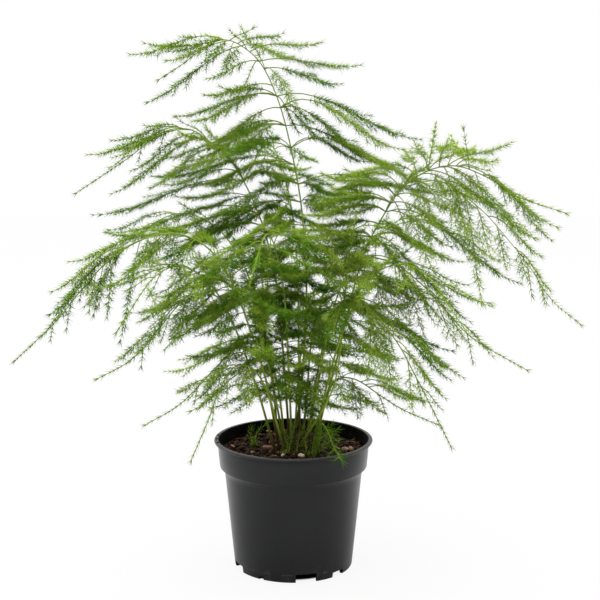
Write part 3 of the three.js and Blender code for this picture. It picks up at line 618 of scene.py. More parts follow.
def taken_shape(piece):
    """A modelled piece's places and corners, for what is copied many times; the piece goes."""
    mesh = piece.data
    shape = (np.array([v.co for v in mesh.vertices]),
             np.array([p.vertices[:] for p in mesh.polygons]))
    bpy.data.objects.remove(piece)
    bpy.data.meshes.remove(mesh)
    return shape


@functools.cache
def needle_shape():
    """One needle of unit length: a three-sided spike, flattened, with its point bent aside."""
    deselect()
    bpy.ops.mesh.primitive_cone_add(
        vertices=3, radius1=1, radius2=0, depth=1, location=(0, 0, 0.5), end_fill_type="NGON")
    cone = bpy.context.object
    settle()
    for vertex in cone.data.vertices:
        vertex.co.y *= NEEDLE["flat"]
        if vertex.co.z > 0.5:
            vertex.co.x += NEEDLE["bend"]
    return taken_shape(cone)


# ---------------------------------------------------------------- a frond's growth
def branchlet_lines(limb, thin, rng):
    """Branchlets left and right in turn off a limb, leaning ahead and spread nearly level."""
    first = limb.length * BRANCHLET["from"]
    span = limb.length * BRANCHLET["to"] - first
    count = max(3, round(span / (BRANCHLET["spacing"] * thin)))
    roots = first + span * (np.arange(count) + rng.uniform(*WITHIN, count)) / count
    ahead = limb.heading(roots)
    side = limb.side(roots) * np.where(np.arange(count) % 2, 1.0, -1.0)[:, None]
    over = np.cross(side, ahead)
    over *= np.sign(over[:, 2:] + 1e-6)
    roll = rng.normal(0, math.radians(BRANCHLET["roll"]), count)[:, None]
    lean = np.radians(rng.uniform(*BRANCHLET["lean"], count))[:, None]
    out = np.cos(roll) * side + np.sin(roll) * over
    way = np.cos(lean) * ahead + np.sin(lean) * out
    outward = 1 - roots / limb.length
    small = BRANCHLET["first_size"]
    grown = (roots - first) / (BRANCHLET["full_after"] * limb.length)
    swell = np.clip(small + (1 - small) * grown, 0, 1)
    length = np.minimum(BRANCHLET["longest"],
                        BRANCHLET["share"] * limb.length * outward + BRANCHLET["least"])
    chord = limb.places[-1] - limb.places[0]
    spread = np.hypot(*chord[:2]) / np.linalg.norm(chord)
    length *= np.clip(spread / BRANCHLET["level"], BRANCHLET["hanging"], 1)
    length = (length * swell * rng.uniform(*BRANCHLET["size"], count))[:, None]
    later = unit(way + BRANCHLET["turn_ahead"] * ahead - BRANCHLET["droop"] * UP)
    root = limb.at(roots)
    middle = root + way * length * 0.5
    tip = middle + later * length * 0.5
    t = np.linspace(0, 1, BRANCHLET["points"])[None, :, None]
    root, middle, tip = (place[:, None] for place in (root, middle, tip))
    lines = (1 - t)**2 * root + 2 * t * (1 - t) * middle + t**2 * tip
    return lines, length[:, 0], roots / limb.length


def along(lines, counts, first, rng):
    """Evenly spaced places on each line from a first share to its tip, each line with its own
    count, with their headings, their shares and the line each lies on."""
    owner = np.repeat(np.arange(len(lines)), counts)
    order = np.arange(len(owner)) - np.repeat(np.cumsum(counts) - counts, counts)
    share = mix(first, 1.0, (order + rng.uniform(*WITHIN, len(owner))) / counts[owner])
    station = share * (lines.shape[1] - 1)
    k = np.minimum(station.astype(int), lines.shape[1] - 2)
    a, b = lines[owner, k], lines[owner, k + 1]
    return mix(a, b, (station - k)[:, None]), unit(b - a), share, owner


def add_tufts(foliage, places, ahead, shares, bright, needles, rng):
    """A whorl of needles at each place, spread round its heading and leaning ahead, the more so
    the nearer its share of the way comes to the tip."""
    count = len(places)
    spin = rng.uniform(0, 2 * math.pi, count)[:, None]
    angle = spin + 2 * math.pi * np.arange(needles) / needles
    angle = angle + rng.normal(0, TUFT["stray"], (count, needles))
    lean = np.radians(mix(*TUFT["lean"], shares**3))[:, None]
    lean = lean * rng.uniform(*TUFT["spread"], (count, needles))
    helper = np.where(np.abs(ahead[:, 2:]) > 0.9, [1.0, 0.0, 0.0], UP)
    side = unit(np.cross(ahead, helper))[:, None]
    over = np.cross(ahead[:, None], side)
    out = np.cos(angle)[..., None] * side + np.sin(angle)[..., None] * over
    way = np.cos(lean)[..., None] * ahead[:, None] + np.sin(lean)[..., None] * out
    size = rng.uniform(*NEEDLE["size"], (count, needles))
    length = mix(*NEEDLE["length"], shares)[:, None] * size
    # A needle that points upward gets a lighter green: painted light from above.
    tone = (bright[:, None] + LIGHTER["painted_light_upward"] * way[..., 2]
            + rng.normal(0, UNEVEN["needle"], (count, needles)))
    foliage.add_needles(np.repeat(places, needles, 0), way.reshape(-1, 3), length.ravel(),
                        tone.ravel(), rng.uniform(0, 2 * math.pi, count * needles))


def dress_limb(foliage, limb, first, bright, spacing, rng):
    """Tufts on a limb from first to its tip."""
    own = np.append(np.arange(first, limb.length - TUFT["before_last"], spacing),
                    limb.length - TUFT["last"])
    own[:-1] += rng.uniform(-TUFT["shift"], TUFT["shift"], len(own) - 1) * spacing
    add_tufts(foliage, limb.at(own), limb.heading(own), own / limb.length,
              np.full(len(own), bright + LIGHTER["limb_tuft"]), TUFT["needles"] + 1, rng)


def dress_shoot(foliage, shoot, bright, thin, rng):
    """A shoot's branchlets with their tufts, and the tufts on the shoot itself."""
    if shoot.length > BRANCHLET["shortest_limb"]:
        lines, lengths, shares = branchlet_lines(shoot, thin, rng)
        tone = (bright + rng.normal(0, UNEVEN["branchlet"], len(lines))
                + LIGHTER["outward"] * (shares - 0.4))
        level = np.broadcast_to(UP, (len(lines), 3))
        points = BRANCHLET["points"]
        foliage.add_strands(lines, np.linspace(*RADIUS["branchlet"], points)[None],
                            BRANCHLET["sides"], level, tone,
                            np.linspace(*MAP["branchlet"], points)[None])
        counts = np.round(lengths / (TUFT["branchlet"] * thin)).astype(int)
        counts = np.maximum(2, counts)
        places, ahead, share, owner = along(lines, counts, BRANCHLET["bare"], rng)
        add_tufts(foliage, places, ahead, share, tone[owner] + LIGHTER["tip"] * (share - 0.5),
                  TUFT["needles"], rng)
    dress_limb(foliage, shoot, BRANCHLET["from"] * shoot.length, bright, TUFT["shoot"] * thin, rng)


def grow_frond(name, parts, draw, finish):
    rng = np.random.default_rng([SEED, sum(map(ord, name))])
    foliage = Foliage(STRETCH.get(name, 1.0))
    bright, thin = BRIGHTNESS[name], THIN.get(name, 1.0)
    stems, shoots = frond_limbs(parts, draw, rng)
    for number, stem in enumerate(stems):
        share = stem.distances / stem.length
        if number and name != "rim_sprig":
            share = mix(STEM["side_wood"], 1, share)
        radius = mix(*RADIUS["stem"], share**STEM["taper"])
        radius = radius * (STEM["side_size"] if number else 1)
        foliage.add_strands(stem.places[None], radius[None], STEM["sides"], stem.sides[:1],
                            np.array([bright]), mix(*MAP["stem"], share)[None])
        dress_limb(foliage, stem, stem.length - STEM["tufted"], bright + LIGHTER["stem"],
                   TUFT["stem"], rng)
    for shoot in shoots:
        away = min(np.linalg.norm(shoot.places[-1] - HEART["place"]) / HEART["reach"], 1)
        # A shoot near the heart of the plant gets a darker green: painted shade.
        tone = bright + mix(*HEART["tone"], away) + rng.normal(0, UNEVEN["shoot"])
        radius = np.linspace(*RADIUS["shoot"], len(shoot.places))
        foliage.add_strands(shoot.places[None], radius[None], SHOOT["sides"], shoot.sides[:1],
                            np.array([tone]), np.linspace(*MAP["shoot"], len(radius))[None])
        dress_shoot(foliage, shoot, tone, thin * mix(*HEART["open"], away), rng)
    return foliage.make(f"{name}_foliage", finish)


# ---------------------------------------------------------------- finishes
class Level:
    """A number that varies over a surface; sums and products on it add their Math nodes."""

    def __init__(self, finish, socket):
        self.finish, self.socket = finish, socket

    def math(self, operation, *values):
        return self.finish.node("Math", values, operation=operation)

    def __add__(self, other):
        return self.math("ADD", self, other)

    def __sub__(self, other):
        return self.math("SUBTRACT", self, other)

    def __rsub__(self, other):
        return self.math("SUBTRACT", other, self)

    def __mul__(self, other):
        return self.math("MULTIPLY", self, other)

    __radd__, __rmul__ = __add__, __mul__

    def size(self):
        return self.math("ABSOLUTE", self)

    def step(self, low, high):
        """0 below low and 1 above high, with a smooth rise between; the other way if low > high."""
        return self.finish.node("MapRange", {"Value": self, "From Min": low, "From Max": high},
                                interpolation_type="SMOOTHSTEP")


class Finish:
    """A material made of nodes round one Principled shader."""

    def __init__(self, name, **fixed):
        self.material = bpy.data.materials.new(name)
        self.material.use_nodes = True
        self.tree = self.material.node_tree
        self.shader = self.tree.nodes["Principled BSDF"]
        for label, value in fixed.items():
            self.set(label.replace("_", " "), value)

    def put(self, socket, value):
        if isinstance(value, Level):
            self.tree.links.new(value.socket, socket)
        else:
            socket.default_value = (*value, 1.0) if socket.type == "RGBA" else value

    def set(self, label, value):
        self.put(self.shader.inputs[label], value)

    def node(self, kind, values, output=0, stops=None, **settings):
        """Adds a node: its settings and a ramp's stops first, then its sockets' values or links."""
        node = self.tree.nodes.new("ShaderNode" + kind)
        for name, value in settings.items():
            setattr(node, name, value)
        if stops:
            ramp = node.color_ramp
            while len(ramp.elements) < len(stops):
                ramp.elements.new(0.5)
            for element, (place, colour) in zip(ramp.elements, stops):
                element.position, element.color = place, (*colour, 1.0)
        pairs = values.items() if isinstance(values, dict) else enumerate(values)
        for label, value in pairs:
            self.put(node.inputs[label], value)
        return Level(self, node.outputs[output])

    def place(self):
        return self.node("TexCoord", {}, output="Object")

    def noise(self, place, scale, detail=3.0, roughness=0.5):
        return self.node("TexNoise", {"Vector": place, "Scale": scale, "Detail": detail,
                                      "Roughness": roughness}, output="Fac")

    def ramp(self, level, *stops):
        """A colour for each level: each stop is a level with its colour, as a web code or light."""
        stops = [(at, colour(shade) if isinstance(shade, str) else shade) for at, shade in stops]
        return self.node("ValToRGB", {"Fac": level}, stops=stops)

    def blend(self, share, first, second):
        """Two colours mixed by a share."""
        return self.node("Mix", {0: share, 6: first, 7: second}, output=2, data_type="RGBA")

    def bump(self, height, distance, strength=1.0):
        self.set("Normal", self.node("Bump", {"Height": height, "Distance": distance,
                                              "Strength": strength}))


def colour(code):
    """A colour written as on the web, as linear light."""
    parts = [int(code[k:k + 2], 16) / 255 for k in (0, 2, 4)]
    return tuple(p / 12.92 if p <= 0.04045 else ((p + 0.055) / 1.055)**2.4 for p in parts)


def foliage_finish(name):
    """Green that goes from shade to new growth across the map, and from woody to leafy up it."""
    finish = Finish(name, Roughness=0.7, Specular_IOR_Level=0.03)
    spot = finish.node("UVMap", {}, uv_map=MAP["name"])
    across, up = (finish.node("SeparateXYZ", {"Vector": spot}, output=k) for k in (0, 1))
    leaf = finish.ramp(across, (0.0, "163c06"), (0.2, "28560b"), (0.36, "417013"), (0.5, "658920"),
                       (0.65, "84a035"), (0.8, "96b042"), (1.0, "a9c14e"))
    # The stems' feet at the soil are dark brown: partly their brown sheaths, partly painted shade
    # among the stems near the soil.
    wood = finish.ramp(up, (0.0, "33251a"), (0.04, "463820"), (0.054, "66622f"), (0.072, "93a042"),
                       (0.1, "8aa03a"), (0.24, "65822a"), (0.34, "788838"), (0.5, "62801f"))
    sunlit = across * up.step(0.03, 0.06) * 0.4
    pale_tip = up.step(0.84, 0.97) * 0.35
    wood = finish.blend(sunlit, wood, colour("80992e"))
    leaf = finish.blend(pale_tip, leaf, colour("9fb148"))
    finish.set("Base Color", finish.blend(up.step(0.4, 0.6), wood, leaf))
    return finish.material


# Heights on the pot, in metres, between which its outside changes: a band fades in and out again.
BANDS = {
    "lip": (0.0972, 0.0978), "shade_under_collar": (0.0742, 0.0770, 0.0777, 0.0774),
    "shade_under_lip": (0.0915, 0.0953, 0.0958, 0.0955), "specks": (0.02, 0.002),
    "smears": (0.014, 0.0), "seam": 0.0062, "seam_width": 0.0006,
}
PLASTIC = {
    "dark": (0.0078, 0.0082, 0.0085), "light": (0.0115, 0.0119, 0.0122),
    "shade": (0.001, 0.001, 0.001), "dust": (0.12, 0.112, 0.102), "lip_dust_and_highlight": (0.11, 0.1, 0.09),
}
STAIN_AND_SHADE = {"black": (0.0015, 0.0014, 0.0013), "brown": (0.006, 0.005, 0.004),
         "crust": (0.03, 0.022, 0.016)}


def pot_finish():
    """Matte charcoal plastic with a fine moulded grain, a scuffed foot, painted shade under its
    collar and lip, and on its lip dust with a painted highlight.
    """
    finish = Finish("charcoal_plastic", Specular_IOR_Level=0.2)
    place = finish.place()
    height = finish.node("SeparateXYZ", {"Vector": place}, output=2)
    cloud = finish.noise(place, 22, 4)
    grain = finish.noise(place, 900, 3, 0.6)
    speck = finish.noise(place, 420, 2).step(0.6, 0.75)
    smear = finish.noise(finish.node("Mapping", {"Vector": place, "Scale": (1, 1, 0.2)}), 130, 4)
    lip = height.step(*BANDS["lip"])
    shades = [height.step(*band[:2]) * height.step(*band[2:])
              for band in (BANDS["shade_under_collar"], BANDS["shade_under_lip"])]
    seam = (height - BANDS["seam"]).size().step(BANDS["seam_width"], 0.0) * smear.step(0.46, 0.56)
    specks = speck * height.step(*BANDS["specks"]) * 0.28
    smears = smear.step(0.5, 0.75) * height.step(*BANDS["smears"]) * 0.1
    body = finish.ramp(cloud, (0.3, PLASTIC["dark"]), (0.7, PLASTIC["light"]))
    body = finish.blend(specks + smears + seam * 0.25, body, PLASTIC["dust"])
    body = finish.blend((shades[0] + shades[1]) * 0.25, body, PLASTIC["shade"])
    # The top of the lip is paler: partly dust, partly a painted highlight along its edge.
    finish.set("Base Color", finish.blend(lip * 0.3, body, PLASTIC["lip_dust_and_highlight"]))
    finish.set("Roughness", 0.22 + 0.1 * cloud + 0.06 * grain + 0.3 * lip)
    finish.bump(grain * 0.6 + cloud * 0.4, 0.00012, 0.6)
    return finish.material


def stain_and_shade_finish():
    """The pot's inside wall: plastic dulled and stained by damp soil, and painted near-black as
    painted shade where the plant shades it.
    """
    finish = Finish("stained_and_shaded_plastic", Specular_IOR_Level=0.03)
    crust = finish.noise(finish.place(), 300, 5, 0.7)
    # The near-black here is partly soil stain, partly painted shade on the inside wall.
    finish.set("Base Color", finish.ramp(crust, (0.4, STAIN_AND_SHADE["black"]), (0.6, STAIN_AND_SHADE["brown"]),
                                         (0.75, STAIN_AND_SHADE["crust"])))
    finish.set("Roughness", 1.0 - 0.15 * crust)
    finish.bump(crust, 0.0005)
    return finish.material


def soil_finish():
    """Dark damp peat with reddish fibres and pale grit; its colours are darkened further as painted
    shade from the foliage above.
    """
    finish = Finish("potting_mix", Specular_IOR_Level=0.1)
    place = finish.place()
    clod = finish.noise(place, 160, 5, 0.65)
    fibre = finish.noise(place, 700, 4, 0.7)
    # These browns are darker than the peat alone: painted shade from the foliage above.
    body = finish.ramp(clod * 0.6 + fibre * 0.4, (0.34, "090503"), (0.5, "1e1209"),
                       (0.62, "3f2613"), (0.78, "74482b"))
    grit = finish.noise(place, 520, 2).step(0.74, 0.78)
    finish.set("Base Color", finish.blend(grit * 0.6, body, colour("b59a78")))
    finish.set("Roughness", 0.95 - 0.35 * fibre)
    finish.bump(clod * 0.5 + fibre * 0.5, 0.0012)
    return finish.material


def bark_finish(name, dark, mid, light):
    """Fibrous bark or wood, its streaks running level."""
    finish = Finish(name, Specular_IOR_Level=0.12)
    place = finish.place()
    along_grain = finish.node("Mapping", {"Vector": place, "Scale": (1, 1, 2.5)})
    streak = finish.noise(along_grain, 420, 4, 0.7)
    patch = finish.noise(place, 90, 2)
    body = finish.ramp(streak * 0.5 + patch * 0.5, (0.35, dark), (0.5, mid), (0.66, light))
    finish.set("Base Color", body)
    finish.set("Roughness", 0.9 - 0.3 * streak)
    finish.bump(streak, 0.0006)
    return finish.material


# ---------------------------------------------------------------- modelling by hand
def turned_form(name, profile, sides):
    """A closed form of revolution: a ring is extruded and scaled from place to place."""
    deselect()
    radius, height = profile[0]
    bpy.ops.mesh.primitive_circle_add(vertices=sides, radius=radius * MM,
                                      location=(0, 0, height * MM), fill_type="NGON")
    piece = bpy.context.object
    piece.name = piece.data.name = name
    bpy.ops.object.mode_set(mode="EDIT")
    bpy.ops.mesh.select_all(action="SELECT")
    for next_radius, next_height in profile[1:]:
        rise = (0, 0, (next_height - height) * MM)
        bpy.ops.mesh.extrude_region_move(TRANSFORM_OT_translate={"value": rise})
        scale = next_radius / radius
        bpy.ops.transform.resize(value=(scale, scale, 1))
        radius, height = next_radius, next_height
    bpy.ops.mesh.select_all(action="SELECT")
    bpy.ops.mesh.normals_make_consistent(inside=False)
    bpy.ops.object.mode_set(mode="OBJECT")
    settle()
    return piece


def apply_modifier(piece, kind, **settings):
    modifier = piece.modifiers.new(kind.title(), kind)
    for name, value in settings.items():
        setattr(modifier, name, value)
    bpy.context.view_layer.objects.active = piece
    piece.select_set(True)
    bpy.ops.object.modifier_apply(modifier=modifier.name)


def cut(piece, cutter):
    apply_modifier(piece, "BOOLEAN", operation="DIFFERENCE", object=cutter, solver="EXACT")
    bpy.data.objects.remove(cutter)


def wear(piece, finish):
    """Gives a piece its finish and has it ride with the plant."""
    piece.data.materials.clear()
    piece.data.materials.append(finish)
    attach(piece, "root")
    return piece


# ---------------------------------------------------------------- the pot
POT = {
    "height": 98, "lip": 60, "lip_depth": 2.6, "collar_top": 57.4, "collar_foot": 55.8,
    "collar_foot_z": 77.6, "body_top": 51.9, "body_top_z": 71.5, "foot": 44.9, "foot_width": 3,
    "wall": 1.6, "floor_under": 6.9, "floor": 8.5, "sides": 128, "smooth_under": 38,
    # The inside's corners lie a little under the outside's, and its foot stands in from the foot.
    "inside_drop": 0.8, "inside_foot": 1.1, "middle": 0.5,
}
# The hollow under the collar, as shares of its step out and up from the body.
COVE = [(0.1, 0.24), (0.24, 0.48), (0.42, 0.7), (0.65, 0.88)]
# The notches in one half of the foot ring: degrees round from the front, width, height and depth.
NOTCHES = [(-67, 15.4, 5, 4.5), (-31.7, 3.8, 2.8, 2.3), (12.5, 15.7, 6.7, 4.5), (48, 11.4, 4, 4.5)]
NOTCH_ROUNDING = 0.7
DRAIN = {"radius": 4, "circle": 27, "count": 4, "first": 13.5, "through": 14}
# A short row of pockets in the top of the lip: across, along and twice deep.
GRIP = {"count": 3, "first": 172, "apart": 11, "circle": 58.1, "size": (1.5, 3.7, 2.6)}


def arc(centre, radius, start, end, steps):
    """Places on an arc in a profile, its angles in degrees from outwards towards up."""
    angles = np.radians(np.linspace(start, end, steps + 1))
    return [(centre[0] + radius * math.cos(a), centre[1] + radius * math.sin(a)) for a in angles]


def pot_profile():
    """The pot's section from under its floor, up the outside, over the lip and down the inside."""
    p = POT
    foot, body, body_z, wall = p["foot"], p["body_top"], p["body_top_z"], p["wall"]
    step, step_z, collar = p["collar_foot"], p["collar_foot_z"], p["collar_top"]
    lip, top, lip_low = p["lip"], p["height"], p["height"] - p["lip_depth"]
    inner, under, drop = foot - p["foot_width"], p["floor_under"], p["inside_drop"]
    cove = [(mix(body, step, across), mix(body_z, step_z, up)) for across, up in COVE]
    return [
        (p["middle"], under), (inner - 1.2, under),
        *arc((inner - 0.9, under - 0.6), 0.6, 90, 10, 3), (inner, 0.4), (inner + 0.4, 0),
        (foot - 0.8, 0), (foot - 0.25, 0.2), (foot, 0.8),
        (mix(foot, body, 0.33), body_z * 0.33), (mix(foot, body, 0.66), body_z * 0.66),
        (body, body_z), *cove, (step - 0.95, step_z - 0.1), (step - 0.15, step_z - 0.1),
        (step, step_z + 0.2), (mix(step, collar, 0.5), mix(step_z, lip_low, 0.5)),
        (collar - 0.05, lip_low - 0.3), (collar + 0.4, lip_low + 0.1), (lip - 0.9, lip_low + 0.4),
        (lip - 0.25, lip_low + 0.9), (lip, lip_low + 1.5), (lip - 0.1, top - 0.7),
        (lip - 0.5, top - 0.2), (lip - 1.1, top), (collar - wall + 1.2, top),
        (collar - wall + 0.35, top - 0.3), (collar - wall, top - 1.1), (step - wall, step_z - drop),
        (body - wall, body_z - drop), (foot - p["inside_foot"], p["floor"]),
        (p["middle"], p["floor"]),
    ]


def box_cutter(place, size, turn):
    """A box that is set in front of or beside the pot's axis and then turned round it."""
    deselect()
    bpy.ops.mesh.primitive_cube_add(size=1, location=[side * MM for side in place])
    box = bpy.context.object
    box.scale = [side * MM for side in size]
    settle()
    box.rotation_euler.z = math.radians(turn)
    settle()
    return box


def notch_cutter(angle, width, height, depth):
    box = box_cutter((0, -POT["foot"], 0), (width, 2 * depth, 2 * height), angle)
    apply_modifier(box, "BEVEL", width=NOTCH_ROUNDING * MM, segments=2)
    return box


def drain_cutter(number):
    turn = math.radians(DRAIN["first"] + number * 360 / DRAIN["count"])
    x, y = DRAIN["circle"] * math.sin(turn), -DRAIN["circle"] * math.cos(turn)
    deselect()
    bpy.ops.mesh.primitive_cylinder_add(
        vertices=32, radius=DRAIN["radius"] * MM, depth=DRAIN["through"] * MM,
        location=(x * MM, y * MM, POT["floor"] * MM))
    settle()
    return bpy.context.object


def grip_cutter(number):
    return box_cutter((GRIP["circle"], 0, POT["height"]), GRIP["size"],
                      GRIP["first"] + number * GRIP["apart"])


def stain_and_shade_inside(pot, finish):
    """The inside wall wears a second finish: the soil's stain and painted shade."""
    pot.data.materials.append(finish)
    for face in pot.data.polygons:
        inward = face.normal.xy.dot(face.center.xy.normalized()) < -0.2
        if inward and face.center.z > POT["floor"] * MM:
            face.material_index = 1


def make_pot():
    pot = turned_form("nursery_pot", pot_profile(), POT["sides"])
    for number in range(GRIP["count"]):
        cut(pot, grip_cutter(number))
    for angle, *size in NOTCHES:
        cut(pot, notch_cutter(angle, *size))
        cut(pot, notch_cutter(angle + 180, *size))
    for number in range(DRAIN["count"]):
        cut(pot, drain_cutter(number))
    deselect()
    pot.select_set(True)
    bpy.context.view_layer.objects.active = pot
    bpy.ops.object.shade_smooth_by_angle(angle=math.radians(POT["smooth_under"]))
    wear(pot, pot_finish())
    stain_and_shade_inside(pot, stain_and_shade_finish())
    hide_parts("pot")


# ---------------------------------------------------------------- the soil
SOIL = {
    "top": 88.6, "radius": 54.5, "lump": 1.1, "lump_size": 7, "gap": 0.5, "seat": 0.3, "rings": 64,
    "sides": 160, "edge_drop": 1.2, "edge": 0.3,
}


def lump_at(x, y):
    """How far the soil stands above or below its level at a place."""
    u, v = x / SOIL["lump_size"], y / SOIL["lump_size"]
    waves = math.sin(u + 1.3 * v) + math.sin(1.9 * v - 0.8 * u + 1) + math.sin(2.7 * u + 2)
    return SOIL["lump"] * waves / 3


def clod_at(x, y):
    """Finer crumbs on the lumps."""
    coarse = noise.noise(Vector((x / 3.6, y / 3.6, 0.3)))
    fine = noise.noise(Vector((x / 1.5, y / 1.5, 4.7)))
    return 2.0 * coarse + 1.1 * fine


def soil_height(x, y):
    return SOIL["top"] + lump_at(x, y) + clod_at(x, y)


def make_soil():
    p, gap, seat = POT, SOIL["gap"], SOIL["seat"]
    radius, top, bottom = SOIL["radius"], SOIL["top"], p["floor"] + seat
    wall = [(p["foot"] - p["inside_foot"] - gap, bottom),
            (p["body_top"] - p["wall"] - gap, p["body_top_z"] - p["inside_drop"] + seat),
            (p["collar_foot"] - p["wall"] - gap, p["collar_foot_z"] - p["inside_drop"] + seat),
            (radius, top - SOIL["edge_drop"])]
    rings = [(radius * (1 - k / SOIL["rings"]) - SOIL["edge"], top) for k in range(SOIL["rings"])]
    soil = turned_form("potting_mix", [(p["middle"], bottom), *wall, *rings], SOIL["sides"])
    for vertex in soil.data.vertices:
        if vertex.co.z > (SOIL["top"] - 0.1) * MM:
            x, y = vertex.co.x / MM, vertex.co.y / MM
            vertex.co.z = soil_height(x, y) * MM
    soil.data.polygons.foreach_set("use_smooth", [True] * len(soil.data.polygons))
    wear(soil, soil_finish())
    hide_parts("soil")


def chunk(squash, seed, fineness=2):
    """A rough chip of a few dozen faces: a ball, squashed and broken up by noise."""
    deselect()
    bpy.ops.mesh.primitive_ico_sphere_add(subdivisions=fineness, radius=0.5)
    piece = bpy.context.object
    for vertex in piece.data.vertices:
        co = vertex.co
        co *= 1 + 0.5 * noise.noise(co * 3 + Vector((seed, 0, 0)))
        co.x, co.y, co.z = co.x * squash[0], co.y * squash[1], co.z * squash[2]
    return taken_shape(piece)


def scatter(name, shapes, placings, finish):
    """One piece of many chips: each placing is x, y, z, length, turn, tilt and roll."""
    places, faces, count = [], [], 0
    for number, (x, y, z, length, turn, tilt, roll) in enumerate(placings):
        shape, corners = shapes[number % len(shapes)]
        ct, st, cr, sr = math.cos(tilt), math.sin(tilt), math.cos(roll), math.sin(roll)
        cz, sz = math.cos(turn), math.sin(turn)
        roll_m = np.array([[1, 0, 0], [0, cr, -sr], [0, sr, cr]])
        tilt_m = np.array([[ct, 0, st], [0, 1, 0], [-st, 0, ct]])
        turn_m = np.array([[cz, -sz, 0], [sz, cz, 0], [0, 0, 1]])
        moved = shape * length @ (turn_m @ tilt_m @ roll_m).T + [x, y, z]
        places.append(moved)
        faces.append(corners + count)
        count += len(shape)
    mesh = bpy.data.meshes.new(name)
    mesh.from_pydata((np.vstack(places) * MM).tolist(), [], np.vstack(faces).tolist())
    mesh.polygons.foreach_set("use_smooth", [True] * len(mesh.polygons))
    piece = bpy.data.objects.new(name, mesh)
    bpy.context.scene.collection.objects.link(piece)
    return wear(piece, finish)


# How far out loose chips lie, how high as shares of their length, and how much they lean.
LOOSE = {"reach": 52.0, "height": (-0.2, 0.6), "proud": 0.25, "tilt": 0.35, "roll": 0.6}


def scattered(count, low, high, rng):
    """Placings spread evenly over the soil, with lengths between low and high."""
    placings = []
    for _ in range(count):
        away = LOOSE["reach"] * math.sqrt(rng.uniform(0, 1))
        turn = rng.uniform(0, 2 * math.pi)
        x, y = away * math.cos(turn), away * math.sin(turn)
        length = rng.uniform(low, high)
        lift = LOOSE["proud"] * length * rng.uniform(*LOOSE["height"])
        placings.append((x, y, soil_height(x, y) + lift, length, rng.uniform(0, 2 * math.pi),
                         rng.normal(0, LOOSE["tilt"]), rng.normal(0, LOOSE["roll"])))
    return placings


# Chips that lie where they can be told apart: their shape and finish, x, y, length, turn, tilt.
CHIPS = [
    ("pebble", "stone", 5.6, -21.5, 4.8, 0.2, 0.0), ("pebble", "stone", -7.5, -20.5, 3.4, 1.0, 0.0),
    ("splinter", "pale", -3.0, -19.0, 6.5, 0.1, 0.0), ("slab", "tan", -18.5, -2.5, 11.0, 0.1, 0.1),
    ("slab", "pale", -20.0, 48.0, 5.5, -0.2, 0.1), ("slab", "dark", 9.5, -9.5, 8.5, -0.9, -0.5),
    ("pebble", "rose", 39.0, -2.0, 5.2, 0.6, 0.0), ("pebble", "rose", 43.5, -3.0, 4.6, 1.9, 0.0),
    ("splinter", "tan", 46.0, 16.5, 13.0, -0.05, 0.05),
    ("splinter", "pale", 10.5, 3.0, 6.5, -0.5, 0.2),
    ("lump", "stone", -31.0, -12.0, 2.6, 0.0, 0.0), ("lump", "stone", -13.5, -20.0, 2.2, 0.0, 0.0),
    ("lump", "stone", -23.0, -13.0, 2.0, 0.0, 0.0), ("slab", "tan", -38.0, 8.0, 5.0, 0.4, 0.2),
    ("slab", "tan", 30.0, 20.0, 5.0, -0.4, 0.2), ("lump", "rose", -12.0, 30.0, 3.4, 0.0, 0.0),
    ("splinter", "tan", -44.0, -4.0, 9.0, 0.3, 0.1), ("slab", "pale", 36.0, 34.0, 4.2, 0.9, 0.2),
]


CHIP_ROLL = 0.2
# How high a placed chip's middle lies above the soil, as a share of its length.
LIFT = {"pebble": 0.34, "lump": 0.22, "slab": 0.12, "splinter": 0.12}
WALL_CRUMBS = {"count": 90, "climb": 2.2, "length": (0.8, 2.2), "off_wall": 0.4, "lean": 0.6}


def on_the_wall(rng):
    """Placings for crumbs that cling to the pot's wall just above the soil."""
    placings = []
    low, high = POT["collar_foot_z"], POT["height"] - POT["lip_depth"]
    for _ in range(WALL_CRUMBS["count"]):
        turn = rng.uniform(0, 2 * math.pi)
        height = SOIL["top"] + abs(rng.normal(0, WALL_CRUMBS["climb"]))
        share = (height - low) / (high - low)
        inside = mix(POT["collar_foot"], POT["collar_top"], share) - POT["wall"]
        away = inside - WALL_CRUMBS["off_wall"]
        placings.append((away * math.cos(turn), away * math.sin(turn), height,
                         rng.uniform(*WALL_CRUMBS["length"]), turn,
                         *rng.normal(0, WALL_CRUMBS["lean"], 2)))
    return placings


